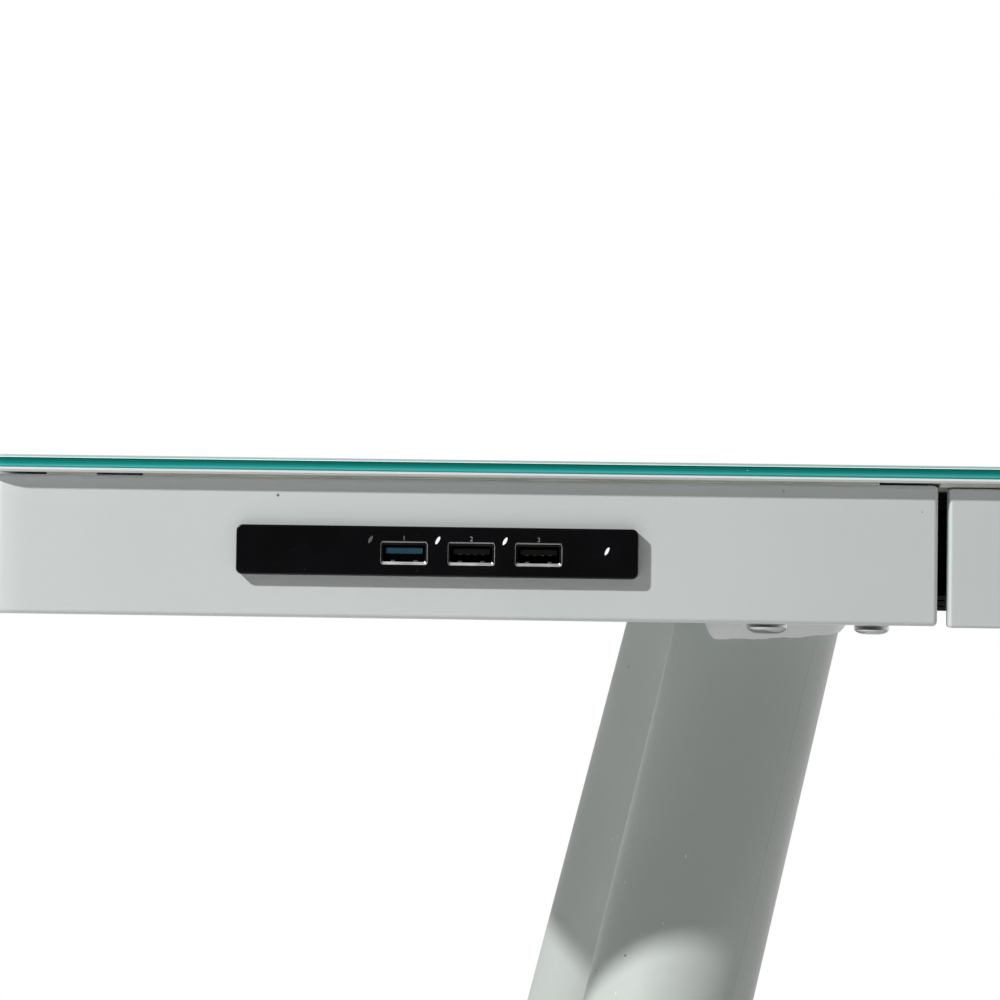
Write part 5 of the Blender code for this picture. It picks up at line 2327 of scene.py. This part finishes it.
@dataclass
class Studio:
    """The floor, the light and the camera."""

    palette: Palette
    eye: Colour = (-0.4399, -0.950, 0.733)
    yaw: float = math.radians(0.892)
    pitch: float = math.radians(1.353)
    roll: float = math.radians(0.779)
    lens: float = 78.48
    sensor: float = 36.0
    nearest: float = 0.05
    lamp_aim: Colour = (-0.47, -0.30, 0.733)
    lamp_way: Colour = (-0.653, -0.473, 0.591)
    lamp_distance: float = 2.4
    lamp_size: float = 0.11
    lamp_power: float = 58.5
    walls: tuple[Span, ...] = ((0.0, 0.06), (0.2, 0.13), (0.4, 0.31), (0.65, 0.58), (1.0, 0.78))
    wall_slope: float = 0.6
    floor_half: float = 3.6
    floor_cells: int = 24
    floor_forward: float = 1.2

    def floor(self) -> None:
        """Lay the floor."""
        shape = Shape()
        bmesh.ops.create_grid(
            shape.mesh, x_segments=self.floor_cells, y_segments=self.floor_cells, size=self.floor_half
        )
        floor = SubAssembly.as_object("studio_floor", shape)
        floor.location.y = -self.floor_forward
        floor.data.materials.append(self.palette.get(Finish.STUDIO_FLOOR))

    def room(self) -> None:
        """Light the table from a white room that is darker in front and to the left."""
        world = bpy.data.worlds.new("white_room")
        world.use_nodes = True
        bpy.context.scene.world = world
        nodes = world.node_tree.nodes
        links = world.node_tree.links
        parts = nodes.new("ShaderNodeSeparateXYZ")
        links.new(nodes.new("ShaderNodeTexCoord").outputs["Generated"], parts.inputs["Vector"])
        depth = nodes.new("ShaderNodeMapRange")
        depth.inputs["From Min"].default_value = -1.0
        links.new(parts.outputs["Y"], depth.inputs["Value"])
        walls = nodes.new("ShaderNodeValToRGB")
        fill_ramp(walls.color_ramp, [(place, (bright,) * 3) for place, bright in self.walls])
        links.new(depth.outputs["Result"], walls.inputs["Fac"])
        slope = nodes.new("ShaderNodeMath")
        slope.operation = "MULTIPLY_ADD"
        links.new(parts.outputs["X"], slope.inputs[0])
        slope.inputs[1].default_value = self.wall_slope
        slope.inputs[2].default_value = 1.0
        sloped = nodes.new("ShaderNodeMath")
        sloped.operation = "MULTIPLY"
        links.new(walls.outputs["Color"], sloped.inputs[0])
        links.new(slope.outputs["Value"], sloped.inputs[1])
        lit, plain = MIX_NUMBERS
        seen = nodes.new("ShaderNodeMix")
        links.new(nodes.new("ShaderNodeLightPath").outputs["Is Camera Ray"], seen.inputs[MIX_SHARE])
        links.new(sloped.outputs["Value"], seen.inputs[lit])
        seen.inputs[plain].default_value = 1.0
        links.new(seen.outputs[MIX_NUMBER_OUT], nodes["Background"].inputs["Strength"])
        nodes["Background"].inputs["Color"].default_value = (1.0, 1.0, 1.0, 1.0)

    def lamp(self) -> None:
        """Hang the main light to the upper left of the camera."""
        light = bpy.data.lights.new("main_light", "AREA")
        light.shape = "DISK"
        light.size = self.lamp_size
        light.energy = self.lamp_power
        way = Vector(self.lamp_way).normalized()
        holder = bpy.data.objects.new("main_light", light)
        holder.location = Vector(self.lamp_aim) + way * self.lamp_distance
        holder.rotation_euler = way.to_track_quat("Z", "Y").to_euler()
        bpy.context.scene.collection.objects.link(holder)

    def camera(self) -> None:
        """Stand the camera where the picture was taken."""
        ahead = Vector(
            (
                -math.sin(self.yaw) * math.cos(self.pitch),
                math.cos(self.yaw) * math.cos(self.pitch),
                math.sin(self.pitch),
            )
        )
        flat = Vector((math.cos(self.yaw), math.sin(self.yaw), 0.0))
        upward = flat.cross(ahead)
        right = flat * math.cos(self.roll) + upward * math.sin(self.roll)
        up = upward * math.cos(self.roll) - flat * math.sin(self.roll)
        lens = bpy.data.cameras.new("camera")
        lens.lens = self.lens
        lens.sensor_width = self.sensor
        lens.clip_start = self.nearest
        holder = bpy.data.objects.new("camera", lens)
        turn = Matrix((right, up, -ahead)).transposed().to_4x4()
        holder.matrix_world = Matrix.Translation(Vector(self.eye)) @ turn
        bpy.context.scene.collection.objects.link(holder)
        bpy.context.scene.camera = holder

    def build(self) -> None:
        """Set up the floor, the light and the camera."""
        self.floor()
        self.room()
        self.lamp()
        self.camera()
        bpy.context.scene.view_settings.view_transform = "Standard"


def main() -> None:
    """Load the frame, build and dress each sub-assembly, and set up the studio."""
    logging.basicConfig(level=logging.INFO, format="%(name)s: %(message)s")
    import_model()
    palette = Palette()
    parts = [kind(palette) for kind in (GlassTop, Apron, InnerFrame, DrawerUnit, RunnerSet)]
    parts += [Leg(palette, side, end) for side in Side for end in End]
    for part in (*parts, UsbHub(palette)):
        part.build()
        part.dress()
    Studio(palette).build()


if __name__ == "__main__":
    main()
